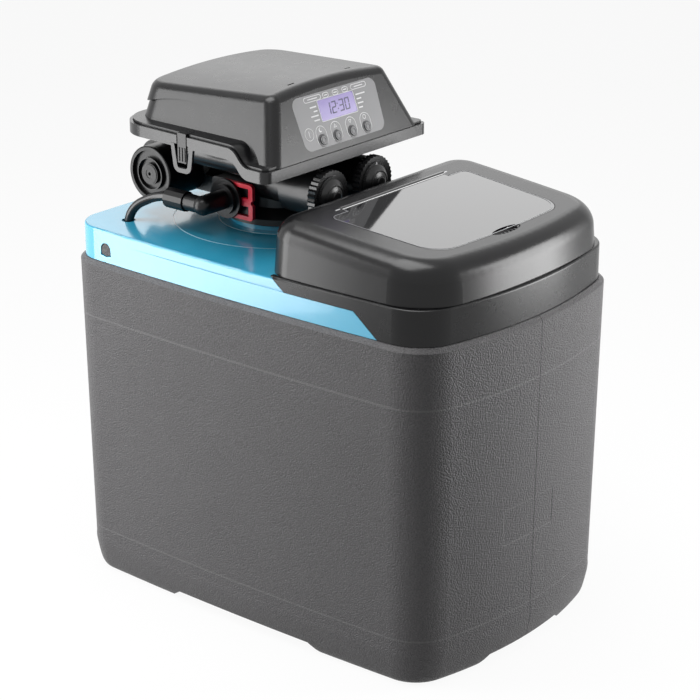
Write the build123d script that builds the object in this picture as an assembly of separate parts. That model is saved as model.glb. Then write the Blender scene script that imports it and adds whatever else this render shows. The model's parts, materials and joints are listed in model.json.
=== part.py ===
from build123d import *
import math
import os

# Compact cabinet water softener, in millimetres. The origin is at the middle of the
# footprint on the floor, +Z is up, the front with the display faces -Y and +X is to the
# right of someone who faces the front.

# Cabinet: a blow-moulded tub with bowed sides, a bowed front and four corner feet
cabinet_width = 320.0
cabinet_depth = 483.0
cabinet_height = 348.0
cabinet_draft = 5.0
cabinet_wall = 5.0
cabinet_floor = 6.0
side_bow = 6.0
front_bow = 24.0
front_corner_radius = 50.0
back_corner_radius = 40.0
foot_round_height = 40.0
foot_round_reach = 11.0
foot_recess_height = 10.0
foot_recess_back_y = 112.0
foot_recess_front_y = -92.0
foot_recess_half_width = 70.0
foot_recess_ramp = 15.0
shoulder_radius = 4.0
section_count = 5

# Neck of the cabinet, which carries the covers, and its snap bosses
neck_wall = 4.0
snap_boss_y = 186.0
snap_boss_width = 12.0
snap_boss_low_z = 356.5
snap_boss_height = 11.0
snap_boss_proud = 2.4
snap_hole_gap = 1.2

# Skirt that the back cover and the front collar share
skirt_inset = 5.0
skirt_wall = 3.0
skirt_bottom = 348.5
seat_gap = 0.3
deck_top = 382.0
deck_thickness = 3.0
deck_edge_radius = 2.0
step_groove_z = 371.0
step_groove_height = 3.0
step_groove_depth = 1.0
step_groove_back_y = 150.0

# Boundary of the front collar, seen from the side
split_foot_y = -164.5
split_knee_y = -137.0
split_knee_z = 371.0
split_rise_y = -54.0
split_deck_y = -40.0
split_gap = 0.4

# Rings and holes of the deck, on the axis of the resin tank
tank_axis_y = 85.0
deck_hole_radius = 44.0
deck_lip_radius = 52.0
deck_lip_height = 4.0
deck_ring_radius = 64.0
deck_disc_radius = 110.0
deck_groove_width = 1.2
deck_groove_depth = 0.6
tube_hole_x = -111.0
tube_hole_y = 193.0
tube_hole_radius = 7.0

# Front collar with the salt opening
collar_top = 383.6
collar_back_y = -36.0
salt_mouth_half_width = 118.0
salt_mouth_back_y = -62.0
salt_mouth_front_y = -206.0
salt_mouth_radius = 30.0
chute_depth = 22.0
chute_wall = 2.5
finger_notch_length = 34.0
finger_notch_width = 22.0
finger_notch_y = -44.0
finger_notch_depth = 2.1

# Salt lid: a deep gloss cap whose top falls towards the front
lid_inset = 9.0
lid_lean = 5.0
lid_wall = 2.8
lid_back_y = -22.0
lid_back_radius = 32.0
lid_front_radius = 65.0
lid_front_bow = 18.0
lid_bottom = 383.9
lid_ridge_z = 437.0
lid_ridge_y = -49.0
lid_slope = 0.0864
lid_blend_radius = 22.0
lid_overrun = 20.0

# Flap window in the lid, its hinge and its finger scoop
window_back_y = -60.0
window_front_y = -197.0
window_half_width = 105.0
window_front_half_width = 98.0
window_corner_radius = 26.0
window_ear_radius = 9.0
window_notch_y = -68.0
window_bar_half_width = 79.0
window_front_bow = 4.0
window_thickness = 2.2
window_gap = 0.5
window_ledge = 7.0
hinge_barrel_radius = 2.6
hinge_barrel_gap = 0.4
hinge_pin_radius = 1.2
hinge_pin_gap = 0.05
hinge_pin_half_length = 86.0
hinge_axis_drop = 0.8
scoop_half_width = 21.0
scoop_reach = 6.0
scoop_depth = 5.0
scoop_rib_count = 7
scoop_rib_width = 1.2

# Resin tank: a wound pressure vessel with a threaded neck
tank_radius = 89.0
tank_wall = 4.0
tank_foot_radius = 26.0
tank_shoulder_z = 318.0
tank_dome_top = 362.0
tank_neck_radius = 40.0
tank_neck_top = 386.0
tank_mouth_radius = 31.5

# Riser, strainers and resin inside the tank
riser_radius = 13.35
riser_wall = 2.2
riser_bottom_gap = 14.0
riser_top = 398.0
strainer_radius = 24.0
strainer_height = 44.0
strainer_slot_count = 10
strainer_slot_width = 2.4
strainer_wall = 3.0
top_strainer_height = 26.0
top_strainer_radius = 28.0
top_strainer_top = 360.0
resin_top = 226.0
resin_gap = 0.5

# Brine well, its cap, float and valve
well_x = -107.0
well_y = 189.0
well_radius = 28.0
well_wall = 2.2
well_top = 371.0
well_slot_count = 6
well_slot_width = 5.0
well_slot_height = 26.0
well_cap_height = 5.0
well_cap_skirt = 10.0
well_cap_rim = 3.0
float_rod_radius = 2.2
float_rod_offset = 12.0
float_radius = 12.5
float_height = 38.0
float_low_z = 150.0
float_bore_gap = 0.1
float_rod_top_z = 300.0
float_stop_radius = 5.0
float_stop_height = 4.0
safety_valve_radius = 11.0
safety_valve_low_z = 240.0
safety_valve_height = 46.0
air_check_radius = 10.0
air_check_height = 34.0
air_check_low_z = 26.0
pickup_tube_radius = 4.75

# Salt grid above the cabinet floor
grid_z = 74.0
grid_thickness = 4.0
grid_inset = 19.0
grid_gap = 2.0
grid_slot_width = 8.0
grid_slot_length = 70.0
grid_slot_pitch = 22.0
grid_slot_count = 9
grid_slot_front_y = -200.0
grid_leg_radius = 7.0
grid_leg_x = 105.0
grid_leg_front_y = -170.0
grid_leg_back_y = -40.0

# Overflow fitting in a pocket of the back wall
overflow_x = 100.0
overflow_z = 300.0
pocket_radius = 22.0
pocket_depth = 22.0
pocket_wall = 4.0
overflow_flange_radius = 14.0
overflow_flange_width = 4.0
overflow_thread_radius = 10.0
overflow_barb_radius = 6.5
overflow_barb_length = 15.0
overflow_bore_radius = 4.5
overflow_nut_radius = 15.0
overflow_nut_width = 6.0
overflow_nut_sides = 6

# Valve body: flange on the tank neck, core, piston barrel, front barrels and ports
valve_plane_z = 428.5
flange_bottom = 388.0
flange_radius = 57.0
flange_height = 6.0
cone_top_z = 403.0
core_radius = 44.0
core_top = 446.0
neck_plug_low_z = 366.0
neck_plug_gap = 0.4
core_bore_radius = 14.0
neck_seal_radius = 3.0
barrel_y = 180.0
barrel_radius = 28.5
barrel_bore_radius = 22.0
barrel_left_x = -82.0
barrel_right_x = 66.0
bridge_half_width = 40.0
bridge_low_z = 404.0
front_barrel_x = 34.0
front_barrel_radius = 23.0
front_barrel_y = -1.0
front_barrel_end_y = 38.5
front_neck_radius = 17.4
front_bore_radius = 17.0
front_bore_end_y = 36.0
port_end_y = 236.0
port_radius = 13.2
port_thread_length = 20.0
port_collar_radius = 18.0
port_bore_radius = 9.5

# Side ports for the brine line on the left and the drain line on the right
side_port_y = 100.0
side_port_z = 412.5
side_block_face_x = 60.0
side_block_half_width = 24.0
side_block_half_height = 18.0
side_block_radius = 5.0
spigot_radius = 13.6
spigot_gap = 0.1
spigot_end_x = 46.0
spigot_bore_radius = 5.0
passage_radius = 5.0

# Retaining clips of the side ports
clip_thickness = 4.0
clip_spine_y = 66.0
clip_spine_width = 5.5
clip_half_height = 18.5
clip_leg_height = 4.2
clip_leg_end_y = 104.0
clip_tab_end_y = 81.0
clip_tab_height = 8.0
clip_waist_radius = 2.4
clip_corner_radius = 4.0

# Brine elbow with its compression nut, and drain elbow with its hose barb
elbow_flange_radius = 20.0
elbow_flange_width = 3.0
elbow_step_radius = 15.5
elbow_step_width = 4.0
elbow_x = 99.0
drain_elbow_x = 103.0
elbow_radius = 10.0
elbow_sleeve_radius = 8.6
elbow_sleeve_end_y = 121.0
nut_radius = 10.4
nut_end_y = 146.0
nut_flat_count = 12
nut_bore_gap = 0.15
elbow_bore_radius = 4.0
barb_radius = 7.0
barb_root_radius = 6.0
barb_pitch = 5.0
barb_count = 4
barb_nose_length = 8.0
barb_bore_radius = 3.8

# Brine tube, three-eighths of an inch across
tube_radius = 4.75
tube_bore_radius = 3.2
tube_start_y = 122.0
tube_first_bend_y = 160.0
tube_second_bend_z = 395.0
tube_low_z = 286.02
tube_bend_radii = [50.0, 30.0]

# Left end cap of the piston barrel
end_cap_x = -92.0
end_cap_rim = 4.5
end_cap_dish_depth = 4.0
end_cap_hub_radius = 11.0
end_cap_hub_proud = 2.6
end_cap_plug_length = 8.0
end_cap_ring_width = 1.2
end_cap_ring_radius = 17.0
cap_screw_radius = 2.6
cap_screw_head_radius = 4.6
cap_screw_head_height = 2.4
cap_screw_length = 16.0
cap_socket_radius = 2.0

# Seal stack and piston
stack_gap = 0.1
stack_inner_radius = 17.0
stack_left_x = -60.0
stack_right_x = 58.0
stack_window_count = 5
stack_window_width = 8.0
stack_window_height = 12.0
piston_radius = 16.93
piston_waist_radius = 11.0
piston_left_x = -58.0
piston_right_x = 30.0
piston_waist_width = 14.0
piston_land_width = 10.0
piston_waist_count = 3
spindle_radius = 6.0
spindle_gap = 0.06
spindle_left_x = 2.0
piston_bore_left_x = -26.0

# Drive: cap, gears, motor, bracket and cover at the right end of the barrel
drive_cap_flange_radius = 28.5
drive_cap_flange_width = 5.0
drive_cap_plug_length = 6.0
gear_module = 1.5
gear_pressure_deg = 20.0
gear_backlash = 0.3
gear_addendum_share = 0.92
gear_dedendum_share = 1.3
main_gear_teeth = 40
compound_small_teeth = 10
compound_large_teeth = 26
pinion_teeth = 10
gear_width = 7.0
gear_left_x = 74.0
gear_hub_radius = 10.0
gear_hub_gap = 0.4
large_gear_left_x = 83.0
large_gear_width = 4.0
gear_rim_width = 5.5
gear_web_share = 0.45
gear_window_count = 5
pinion_width = 5.0
gear_lean_deg = 25.0
gear_pin_radius = 2.0
gear_pin_gap = 0.06
gear_pin_end_x = 88.6
bracket_x = 70.6
bracket_thickness = 2.0
bracket_low_half_width = 15.0
bracket_front_y = 136.0
bracket_back_y = 183.0
bracket_low_z = 455.0
bracket_step_z = 477.6
bracket_top_z = 502.0
bracket_corner_radius = 4.0
bracket_foot_length = 18.0
bracket_foot_width = 9.0
motor_radius = 14.0
motor_length = 27.0
motor_flat_share = 0.8
motor_boss_radius = 5.0
motor_boss_length = 1.6
motor_shaft_radius = 1.5
motor_shaft_gap = 0.05
drive_cover_radius = 35.5
drive_cover_wall = 2.5
drive_cover_end_x = 94.0
drive_cover_throat_half_width = 25.0
drive_cover_top_z = 474.48

# Bypass knobs at the front
knob_ring_radius = 26.0
knob_ring_depth = 1.3
knob_ring_back_y = -1.6
knob_ring_front_y = -10.5
knob_dome_radius = 17.0
knob_dome_height = 6.5
knob_notch_count = 34
knob_step_radius = 20.5
knob_step_height = 1.4
rotor_gap = 0.08
rotor_end_y = 34.0
rotor_hole_radius = 8.0
rotor_hole_y = 22.0
rotor_groove_depth = 1.6
rotor_groove_width = 2.6

# Flow turbine and its cage in the outlet port
turbine_y = 214.0
turbine_radius = 8.6
turbine_hub_radius = 2.6
turbine_width = 6.0
turbine_vane_count = 6
turbine_vane_thickness = 1.0
turbine_bore_gap = 0.08
cage_pin_radius = 0.9
cage_width = 4.0
cage_wall = 1.2
cage_spoke_thickness = 1.2
cage_gap = 0.05
cage_back_y = 224.0

# Head base: a tray whose rim steps down towards the front
base_front_half_width = 124.0
base_back_half_width = 115.5
base_front_y = -6.0
base_back_y = 203.0
base_front_radius = 9.0
base_back_radius = 38.0
rim_front_z = 470.0
rim_back_z = 486.0
rim_step_front_y = 17.0
rim_step_back_y = 46.0
rim_height = 11.5
rim_wall = 3.0
rim_reach = 40.0
tray_floor = 3.0
tub_half_width = 93.0
tub_front_y = 40.0
tub_back_y = 136.0
tub_bottom = 446.3
tub_radius = 16.0
tub_wall = 3.0
gear_slot_left_x = 67.0
gear_slot_right_x = 92.0
gear_slot_half_width = 19.5
barrel_saddle_half_length = 12.0
barrel_saddle_x = 44.0

# Latch loops on the base and tongues on the cover
loop_center_y = 107.5
loop_top_half_width = 15.0
loop_low_half_width = 11.0
loop_band = 4.6
loop_bottom_z = 449.0
loop_thickness = 3.0
loop_corner_radius = 8.0
tongue_half_width = 5.6
tongue_gap = 1.6
tongue_low_z = 457.5
tongue_thickness = 2.4
tongue_arm_height = 2.6
tongue_rib_count = 3
tongue_rib_width = 1.4
tongue_rib_proud = 0.8

# Head cover: leaning display face, swept shoulders and a top that falls to the back
cover_low_z = 462.0
cover_face_y = -4.0
cover_face_z = 472.0
cover_face_angle = 69.2
cover_top_front_z = 532.0
cover_top_back_z = 525.5
cover_top_front_half_width = 85.0
cover_top_back_half_width = 97.0
cover_low_front_half_width = 116.0
cover_low_back_half_width = 108.5
cover_low_back_y = 197.0
cover_top_back_y = 182.0
cover_front_radius = 13.0
cover_back_radius = 26.0
cover_top_radius = 11.0
cover_crown = 5.0
upright_share = 0.5
cover_wall = 2.6
cover_panel_depth = 4.0
cover_flange_height = 2.4
cover_flange_inset = 3.5
crease_points = [(176.0, 506.0), (100.0, 514.0), (73.0, 509.0), (52.0, 502.0), (34.0, 491.0), (18.5, 478.0),
                 (8.0, 462.0)]
crease_back_y = 240.0
slot_x = 42.6
slot_y = 33.0
slot_length = 9.0
slot_width = 2.2

# Display on the leaning face: label, lens, digits module, board and buttons
label_low_half_width = 60.0
label_top_half_width = 63.0
label_low_t = 4.4
label_top_t = 57.5
label_radius = 9.0
label_thickness = 0.8
lcd_low_t = 29.2
lcd_top_t = 49.6
lcd_half_width = 26.5
lcd_radius = 1.5
lcd_lens_thickness = 1.0
lcd_depth = 6.0
button_offsets = (-33.4, -11.3, 11.3, 33.4)
button_t = 11.6
button_radius = 4.2
button_gap = 0.15
button_proud = 1.6
button_flange_radius = 5.6
button_flange_thickness = 1.2
button_travel = 1.0
button_stem_radius = 2.0
board_half_width = 58.0
board_low_t = 3.0
board_top_t = 56.0
board_thickness = 1.6
board_standoff_radius = 3.0
board_standoff_s = 50.0
switch_size = 6.0
switch_height = 2.2
chip_size = 14.0
chip_height = 2.0
chip_t = 40.0
chip_s = 42.0

# Low-voltage socket at the back of the base
jack_x = -60.0
jack_width = 11.0
jack_height = 7.5
jack_length = 14.0
jack_bore_radius = 2.8
jack_pin_radius = 1.0

# Screws
screw_radius = 1.6
screw_head_radius = 3.2
screw_head_height = 2.0
screw_length = 4.6
bracket_screw_shares = (0.28, 0.76)

# Gap between parts that are screwed or glued to each other, and one overrun that every cut uses
touch_gap = 0.02
unit = 1.0
overrun = 30.0


def plan(inset, z, corner=None, bow=None, back=None, back_corner=None):
    """Horizontal outline of the cabinet, set in all round, as a face at height z."""
    bow = front_bow if bow is None else bow
    x = cabinet_width / 2 - inset
    y = cabinet_depth / 2 - inset
    rear = y if back is None else back
    waist = x - side_bow
    corner_y = -(y - bow)
    side_x = x - side_bow * ((rear + corner_y) / 2 / y) ** 2
    rear_x = x - side_bow * (rear / y) ** 2
    edges = [ThreePointArc((-rear_x, rear), (-side_x, (rear + corner_y) / 2), (-waist, corner_y)),
             ThreePointArc((-waist, corner_y), (0, -y), (waist, corner_y)),
             ThreePointArc((waist, corner_y), (side_x, (rear + corner_y) / 2), (rear_x, rear)),
             Line((rear_x, rear), (-rear_x, rear))]
    face = make_face(Curve() + edges)
    front_r = (front_corner_radius if corner is None else corner) - inset
    back_r = back_corner_radius - inset if back_corner is None else back_corner
    split_y = (rear + corner_y) / 2
    face = fillet(face.vertices().filter_by(lambda v: v.Y < split_y), front_r)
    rear_corners = [v for v in face.vertices() if abs(v.Y - rear) < seat_gap]
    face = fillet(rear_corners, back_r)
    return Pos(0, 0, z) * face


def slab(inset, low, high, **shape):
    """Straight prism on the cabinet outline."""
    return extrude(plan(inset, low, **shape), high - low)


def block(x0, x1, y0, y1, z0, z1):
    """Box given by its two corners."""
    return Pos((x0 + x1) / 2, (y0 + y1) / 2, (z0 + z1) / 2) * Box(x1 - x0, y1 - y0, z1 - z0)


def rod_x(radius, x0, x1, y, z):
    """Cylinder along X from x0 to x1."""
    return Plane(origin=(x0, y, z), z_dir=(1, 0, 0)) * Cylinder(radius, x1 - x0, align=(Align.CENTER, Align.CENTER,
                                                                                          Align.MIN))


def rod_y(radius, y0, y1, x, z):
    """Cylinder along Y from y0 to y1."""
    return Plane(origin=(x, y0, z), z_dir=(0, 1, 0)) * Cylinder(radius, y1 - y0, align=(Align.CENTER, Align.CENTER,
                                                                                          Align.MIN))


def rod_z(radius, z0, z1, x, y):
    """Cylinder along Z from z0 to z1."""
    return Pos(x, y, z0) * Cylinder(radius, z1 - z0, align=(Align.CENTER, Align.CENTER, Align.MIN))


def side_prism(outline, half):
    """Prism along X on an outline drawn in Y and Z."""
    face = make_face(Plane.YZ * Polyline(*outline, close=True))
    return extrude(face, half, both=True)


def turned(points, x=0.0, y=0.0):
    """Solid of revolution about a vertical axis from radius and height pairs."""
    face = make_face(Plane.XZ * Polyline(*points, close=True))
    return Pos(x, y, 0) * revolve(face, Axis.Z)


def mirrored(shape):
    """The shape and its mirror image across the middle plane."""
    return shape + mirror(shape, Plane.YZ)


def lid_top_z(y):
    """Height of the sloping top of the salt lid."""
    return lid_ridge_z + lid_slope * (y - lid_ridge_y)


deck_bottom = deck_top - deck_thickness
neck_inset = skirt_inset + skirt_wall + seat_gap
neck_top = deck_bottom - seat_gap
cavity_low_z = foot_recess_height + cabinet_floor
cavity_low_inset = cabinet_draft + foot_round_reach
cavity_top_inset = neck_inset + neck_wall
tank_bottom = cavity_low_z + seat_gap
face_lean = math.radians(cover_face_angle)


# Cabinet ------------------------------------------------------------------
def foot_tunnel(low, high, across):
    """Tapered passage between the feet, along X or along Y."""
    ramp = foot_recess_ramp
    if across:
        outline = [(low, -overrun), (low, 0), (low + ramp, foot_recess_height), (high - ramp, foot_recess_height),
                   (high, 0), (high, -overrun)]
        return side_prism(outline, cabinet_width)
    face = make_face(Plane.XZ * Polyline((low, -overrun), (low, 0), (low + ramp, foot_recess_height),
                                         (high - ramp, foot_recess_height), (high, 0), (high, -overrun), close=True))
    return extrude(face, cabinet_depth, both=True)


def make_cabinet():
    """Tub with a rounded base, four feet, a neck for the covers and an overflow pocket."""
    sections = []
    for step in range(section_count):
        turn = math.radians(90 * step / (section_count - 1))
        height = foot_round_height * (1 - math.cos(turn))
        inset = cabinet_draft * (1 - height / cabinet_height) + foot_round_reach * (1 - math.sin(turn))
        sections.append(plan(inset, height).face())
    body = loft(sections)
    shoulder_z = cabinet_height - shoulder_radius
    body += loft([sections[-1], plan(0, shoulder_z).face()], ruled=True)
    body += loft([plan(0, shoulder_z).face(), plan(shoulder_radius, cabinet_height).face()], ruled=True)
    body += slab(neck_inset, shoulder_z, neck_top)
    body -= loft([plan(cavity_low_inset, cavity_low_z).face(), plan(cavity_top_inset, neck_top + overrun).face()],
                 ruled=True)
    back = cabinet_depth / 2
    body += rod_y(pocket_radius + pocket_wall, back - pocket_depth - pocket_wall, back - cabinet_wall, overflow_x,
                  overflow_z)
    body -= rod_y(pocket_radius, back - pocket_depth, back + overrun, overflow_x, overflow_z)
    body -= rod_y(overflow_thread_radius + seat_gap, back - pocket_depth - overrun, back, overflow_x, overflow_z)
    body -= foot_tunnel(foot_recess_front_y, foot_recess_back_y, True)
    body -= foot_tunnel(-foot_recess_half_width, foot_recess_half_width, False)
    boss_reach = skirt_wall + seat_gap + snap_boss_proud - skirt_wall
    boss = snap_shape(0.0, cabinet_width / 2 - neck_inset - neck_wall, cabinet_width / 2 - neck_inset + boss_reach -
                      side_bow * (snap_boss_y / back) ** 2)
    return body + mirrored(boss)


def snap_shape(grow, x0, x1):
    """Half-round topped boss on the side of the neck."""
    half = snap_boss_width / 2 + grow
    low = snap_boss_low_z - grow
    shoulder = snap_boss_low_z + snap_boss_height - snap_boss_width / 2
    shape = block(x0, x1, snap_boss_y - half, snap_boss_y + half, low, shoulder)
    return shape + rod_x(half, x0, x1, snap_boss_y, shoulder)


# Covers on top of the cabinet -----------------------------------------------
def skirt_shell(top):
    """Skirt with a closed top, before it is split into cover and collar."""
    outer = slab(skirt_inset, skirt_bottom, top)
    outer = fillet(outer.faces().sort_by(Axis.Z)[-1].edges(), deck_edge_radius)
    return outer - slab(skirt_inset + skirt_wall, skirt_bottom - overrun, top - deck_thickness)


def collar_zone(grow):
    """Space of the front collar, seen from the side, widened by grow."""
    reach = cabinet_depth
    slope = (split_knee_y - split_foot_y) / (split_knee_z - skirt_bottom)
    low = skirt_bottom - overrun
    return side_prism([(-reach, low), (split_foot_y - slope * overrun + grow, low),
                       (split_knee_y + grow, split_knee_z - grow), (split_rise_y + grow, split_knee_z - grow),
                       (split_deck_y + grow, deck_top), (split_deck_y + grow, deck_top + overrun),
                       (-reach, deck_top + overrun)], cabinet_width)


def make_shroud():
    """Glossy back cover: deck with rings and holes, and a skirt with a step line."""
    cover = skirt_shell(deck_top) - collar_zone(split_gap)
    axis = (0.0, tank_axis_y)
    cover += rod_z(deck_lip_radius, deck_bottom, deck_top + deck_lip_height, *axis)
    cover -= rod_z(deck_hole_radius, deck_bottom - overrun, deck_top + overrun, *axis)
    groove_low = deck_top - deck_groove_depth
    for radius in (deck_ring_radius, deck_disc_radius):
        ring = rod_z(radius, groove_low, deck_top + overrun, *axis)
        ring -= rod_z(radius - deck_groove_width, groove_low - overrun, deck_top + 2 * overrun, *axis)
        clip = block(-cabinet_width, cabinet_width, split_deck_y + 2 * deck_groove_width, cabinet_depth,
                     groove_low - overrun, deck_top + overrun)
        cover -= ring & clip
    cover -= rod_z(tube_hole_radius, deck_bottom - overrun, deck_top + overrun, tube_hole_x, tube_hole_y)
    half = cabinet_width / 2
    hole = snap_shape(snap_hole_gap, half - skirt_inset - 2 * side_bow - skirt_wall, half)
    cover -= mirrored(hole)
    wedge = side_prism([(step_groove_back_y, step_groove_z), (split_rise_y - overrun, step_groove_z),
                        (split_rise_y - overrun, step_groove_z + step_groove_height)], cabinet_width)
    band = slab(skirt_inset - overrun, step_groove_z - overrun, deck_top) - slab(skirt_inset + step_groove_depth,
                                                                                  step_groove_z - overrun, deck_top)
    return cover - (wedge & band)


def make_collar():
    """Glossy front collar that frames the salt opening and carries the lid."""
    collar = skirt_shell(collar_top) & collar_zone(0.0)
    flange = slab(skirt_inset + skirt_wall / 2, collar_top - deck_thickness / 2, collar_top, back=collar_back_y,
                  back_corner=deck_edge_radius)
    collar += flange & block(-cabinet_width, cabinet_width, split_deck_y - overrun, collar_back_y, deck_top + seat_gap,
                             collar_top)
    mouth = salt_mouth(0.0)
    chute = extrude(Pos(0, 0, collar_top - chute_depth) * salt_mouth(chute_wall), chute_depth)
    collar += chute & slab(skirt_inset + skirt_wall / 2, collar_top - chute_depth, collar_top)
    collar -= extrude(Pos(0, 0, collar_top - chute_depth - overrun) * mouth, chute_depth + 2 * overrun)
    notch_x = cabinet_width / 2 - skirt_inset - side_bow - finger_notch_width / 2
    size = (finger_notch_width / 2, finger_notch_length / 2, finger_notch_depth)
    notch = Pos(notch_x, finger_notch_y, collar_top) * scale(Sphere(unit), size)
    return collar - mirrored(notch)


def salt_mouth(grow):
    """Rounded outline of the salt opening."""
    depth = salt_mouth_back_y - salt_mouth_front_y
    outline = RectangleRounded(2 * (salt_mouth_half_width + grow), depth + 2 * grow, salt_mouth_radius + grow)
    return Pos(0, (salt_mouth_back_y + salt_mouth_front_y) / 2) * outline


# Salt lid ----------------------------------------------------------------------
def lid_form(inset, drop):
    """Solid of the lid: leaning walls, a sloping top and a generous blend between them."""
    shape = {"corner": lid_front_radius, "bow": lid_front_bow, "back_corner": lid_back_radius - inset}
    low = plan(lid_inset + inset, lid_bottom, back=lid_back_y - inset, **shape)
    high_z = lid_ridge_z + lid_overrun
    high = plan(lid_inset + inset + lid_lean, high_z, back=lid_back_y - inset - lid_lean / 2, **shape)
    body = loft([low.face(), high.face()], ruled=True)
    reach = cabinet_depth
    cut = side_prism([(-reach, lid_top_z(-reach) - drop), (reach, lid_top_z(reach) - drop),
                      (reach, lid_top_z(reach) + reach), (-reach, lid_top_z(reach) + reach)], cabinet_width)
    body -= cut
    top = [f for f in body.faces() if f.normal_at().Z > math.cos(math.atan(lid_slope) * 2)]
    top = sorted(top, key=lambda f: f.center().Z)[-1]
    return fillet(top.edges(), lid_blend_radius - inset)


def window_outline(grow):
    """Outline of the flap window seen from above."""
    back = window_notch_y + grow
    front = window_front_y - grow
    wide = window_half_width + grow
    narrow = window_front_half_width + grow
    edges = [Line((-wide, back), (wide, back)), Line((wide, back), (narrow, front + window_front_bow)),
             ThreePointArc((narrow, front + window_front_bow), (0, front), (-narrow, front + window_front_bow)),
             Line((-narrow, front + window_front_bow), (-wide, back))]
    face = make_face(Curve() + edges)
    middle = (back + front) / 2
    face = fillet(face.vertices().filter_by(lambda v: v.Y < middle), window_corner_radius)
    ears = [v for v in face.vertices() if abs(v.Y - back) < seat_gap]
    face = fillet(ears, window_ear_radius)
    bar = window_bar_half_width + grow
    depth = window_back_y - window_notch_y + window_ear_radius
    return face + Pos(0, window_back_y - depth / 2) * Rectangle(2 * bar, depth)


def window_slice(grow, top_drop, low_drop):
    """Window outline cut to a slice between two planes that follow the lid's slope."""
    column = extrude(Pos(0, 0, lid_bottom) * window_outline(grow), lid_ridge_z - lid_bottom + lid_overrun)
    reach = cabinet_depth
    layer = side_prism([(-reach, lid_top_z(-reach) - low_drop), (reach, lid_top_z(reach) - low_drop),
                        (reach, lid_top_z(reach) - top_drop), (-reach, lid_top_z(-reach) - top_drop)], cabinet_width)
    return column & layer


def scoop_form(grow):
    """Half-sunk bowl at the front edge of the flap, where a finger lifts it."""
    size = (scoop_half_width + grow, scoop_reach + grow, scoop_depth + grow)
    return Pos(0, window_front_y, lid_top_z(window_front_y)) * scale(Sphere(unit), size)


hinge_axis_z = lid_top_z(window_back_y) - hinge_axis_drop


def make_salt_lid():
    """Lid shell with the pocket and opening of the flap, hinge groove and finger scoop."""
    lid = lid_form(0.0, 0.0) - lid_form(lid_wall, lid_wall)
    lid -= block(-cabinet_width, cabinet_width, -cabinet_depth, cabinet_depth, lid_bottom - overrun, lid_bottom)
    frame = window_slice(window_ledge, 0.0, lid_wall + window_thickness)
    scoop = scoop_form(0.0)
    lid += (frame + scoop_form(lid_wall)) & lid_form(0.0, 0.0)
    lid -= window_slice(window_gap, -overrun, window_thickness)
    lid -= window_slice(-window_ledge, -overrun, overrun) - scoop_form(lid_wall)
    groove = rod_x(hinge_barrel_radius + hinge_barrel_gap, -window_bar_half_width - window_gap,
                   window_bar_half_width + window_gap, window_back_y, hinge_axis_z)
    lid -= groove
    lid -= rod_x(hinge_pin_radius, -hinge_pin_half_length, hinge_pin_half_length, window_back_y, hinge_axis_z)
    lid -= scoop
    front_z = lid_top_z(window_front_y)
    for index in range(scoop_rib_count):
        x = scoop_half_width * (2 * (index + 1) / (scoop_rib_count + 1) - 1)
        rib = block(x - scoop_rib_width / 2, x + scoop_rib_width / 2, window_front_y - scoop_reach, window_front_y -
                    scoop_rib_width, front_z - scoop_depth, front_z - scoop_rib_width)
        lid += rib & scoop
    return lid


def make_window():
    """Clear flap with its hinge barrel along the back edge."""
    window = window_slice(0.0, 0.0, window_thickness - seat_gap) - scoop_form(0.0)
    barrel = rod_x(hinge_barrel_radius, -window_bar_half_width, window_bar_half_width, window_back_y, hinge_axis_z)
    return window + barrel - rod_x(hinge_pin_radius + hinge_pin_gap, -cabinet_width, cabinet_width, window_back_y,
                                   hinge_axis_z)


def make_hinge_pin():
    """Steel pin of the flap hinge, held in the lid at both ends."""
    return rod_x(hinge_pin_radius, -hinge_pin_half_length, hinge_pin_half_length, window_back_y, hinge_axis_z)


# Resin tank and what it holds ------------------------------------------------
def make_tank():
    """Pressure vessel with a rounded foot, a domed shoulder and a neck."""
    outer = tank_half_profile(0.0)
    inner = tank_half_profile(tank_wall)
    vessel = revolve(outer, Axis.Z) - revolve(inner, Axis.Z)
    vessel += turned([(0, tank_dome_top - 2 * tank_wall), (tank_neck_radius, tank_dome_top - 2 * tank_wall),
                      (tank_neck_radius, tank_neck_top), (0, tank_neck_top)])
    vessel -= rod_z(tank_mouth_radius, tank_dome_top - overrun, tank_neck_top + overrun, 0, 0)
    return Pos(0, tank_axis_y, 0) * vessel


def tank_half_profile(inset):
    """Half section of the vessel, set in by inset."""
    r = tank_radius - inset
    low = tank_bottom + inset
    foot = tank_foot_radius - inset
    top = tank_dome_top - inset
    bend = math.sqrt(0.5)
    dome = top - tank_shoulder_z
    edges = [Line((0, low), (r - foot, low)),
             ThreePointArc((r - foot, low), (r - foot + foot * bend, low + foot - foot * bend), (r, low + foot)),
             Line((r, low + foot), (r, tank_shoulder_z)),
             Bezier((r, tank_shoulder_z), (r, tank_shoulder_z + dome * 0.7), (r * 0.6, top), (0, top)),
             Line((0, top), (0, low))]
    return make_face(Plane.XZ * (Curve() + edges))


def make_riser():
    """Riser tube from the bottom strainer up into the valve."""
    low = tank_bottom + tank_wall + riser_bottom_gap
    tube = rod_z(riser_radius, low, riser_top, 0, tank_axis_y)
    return tube - rod_z(riser_radius - riser_wall, low - overrun, riser_top + overrun, 0, tank_axis_y)


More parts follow.
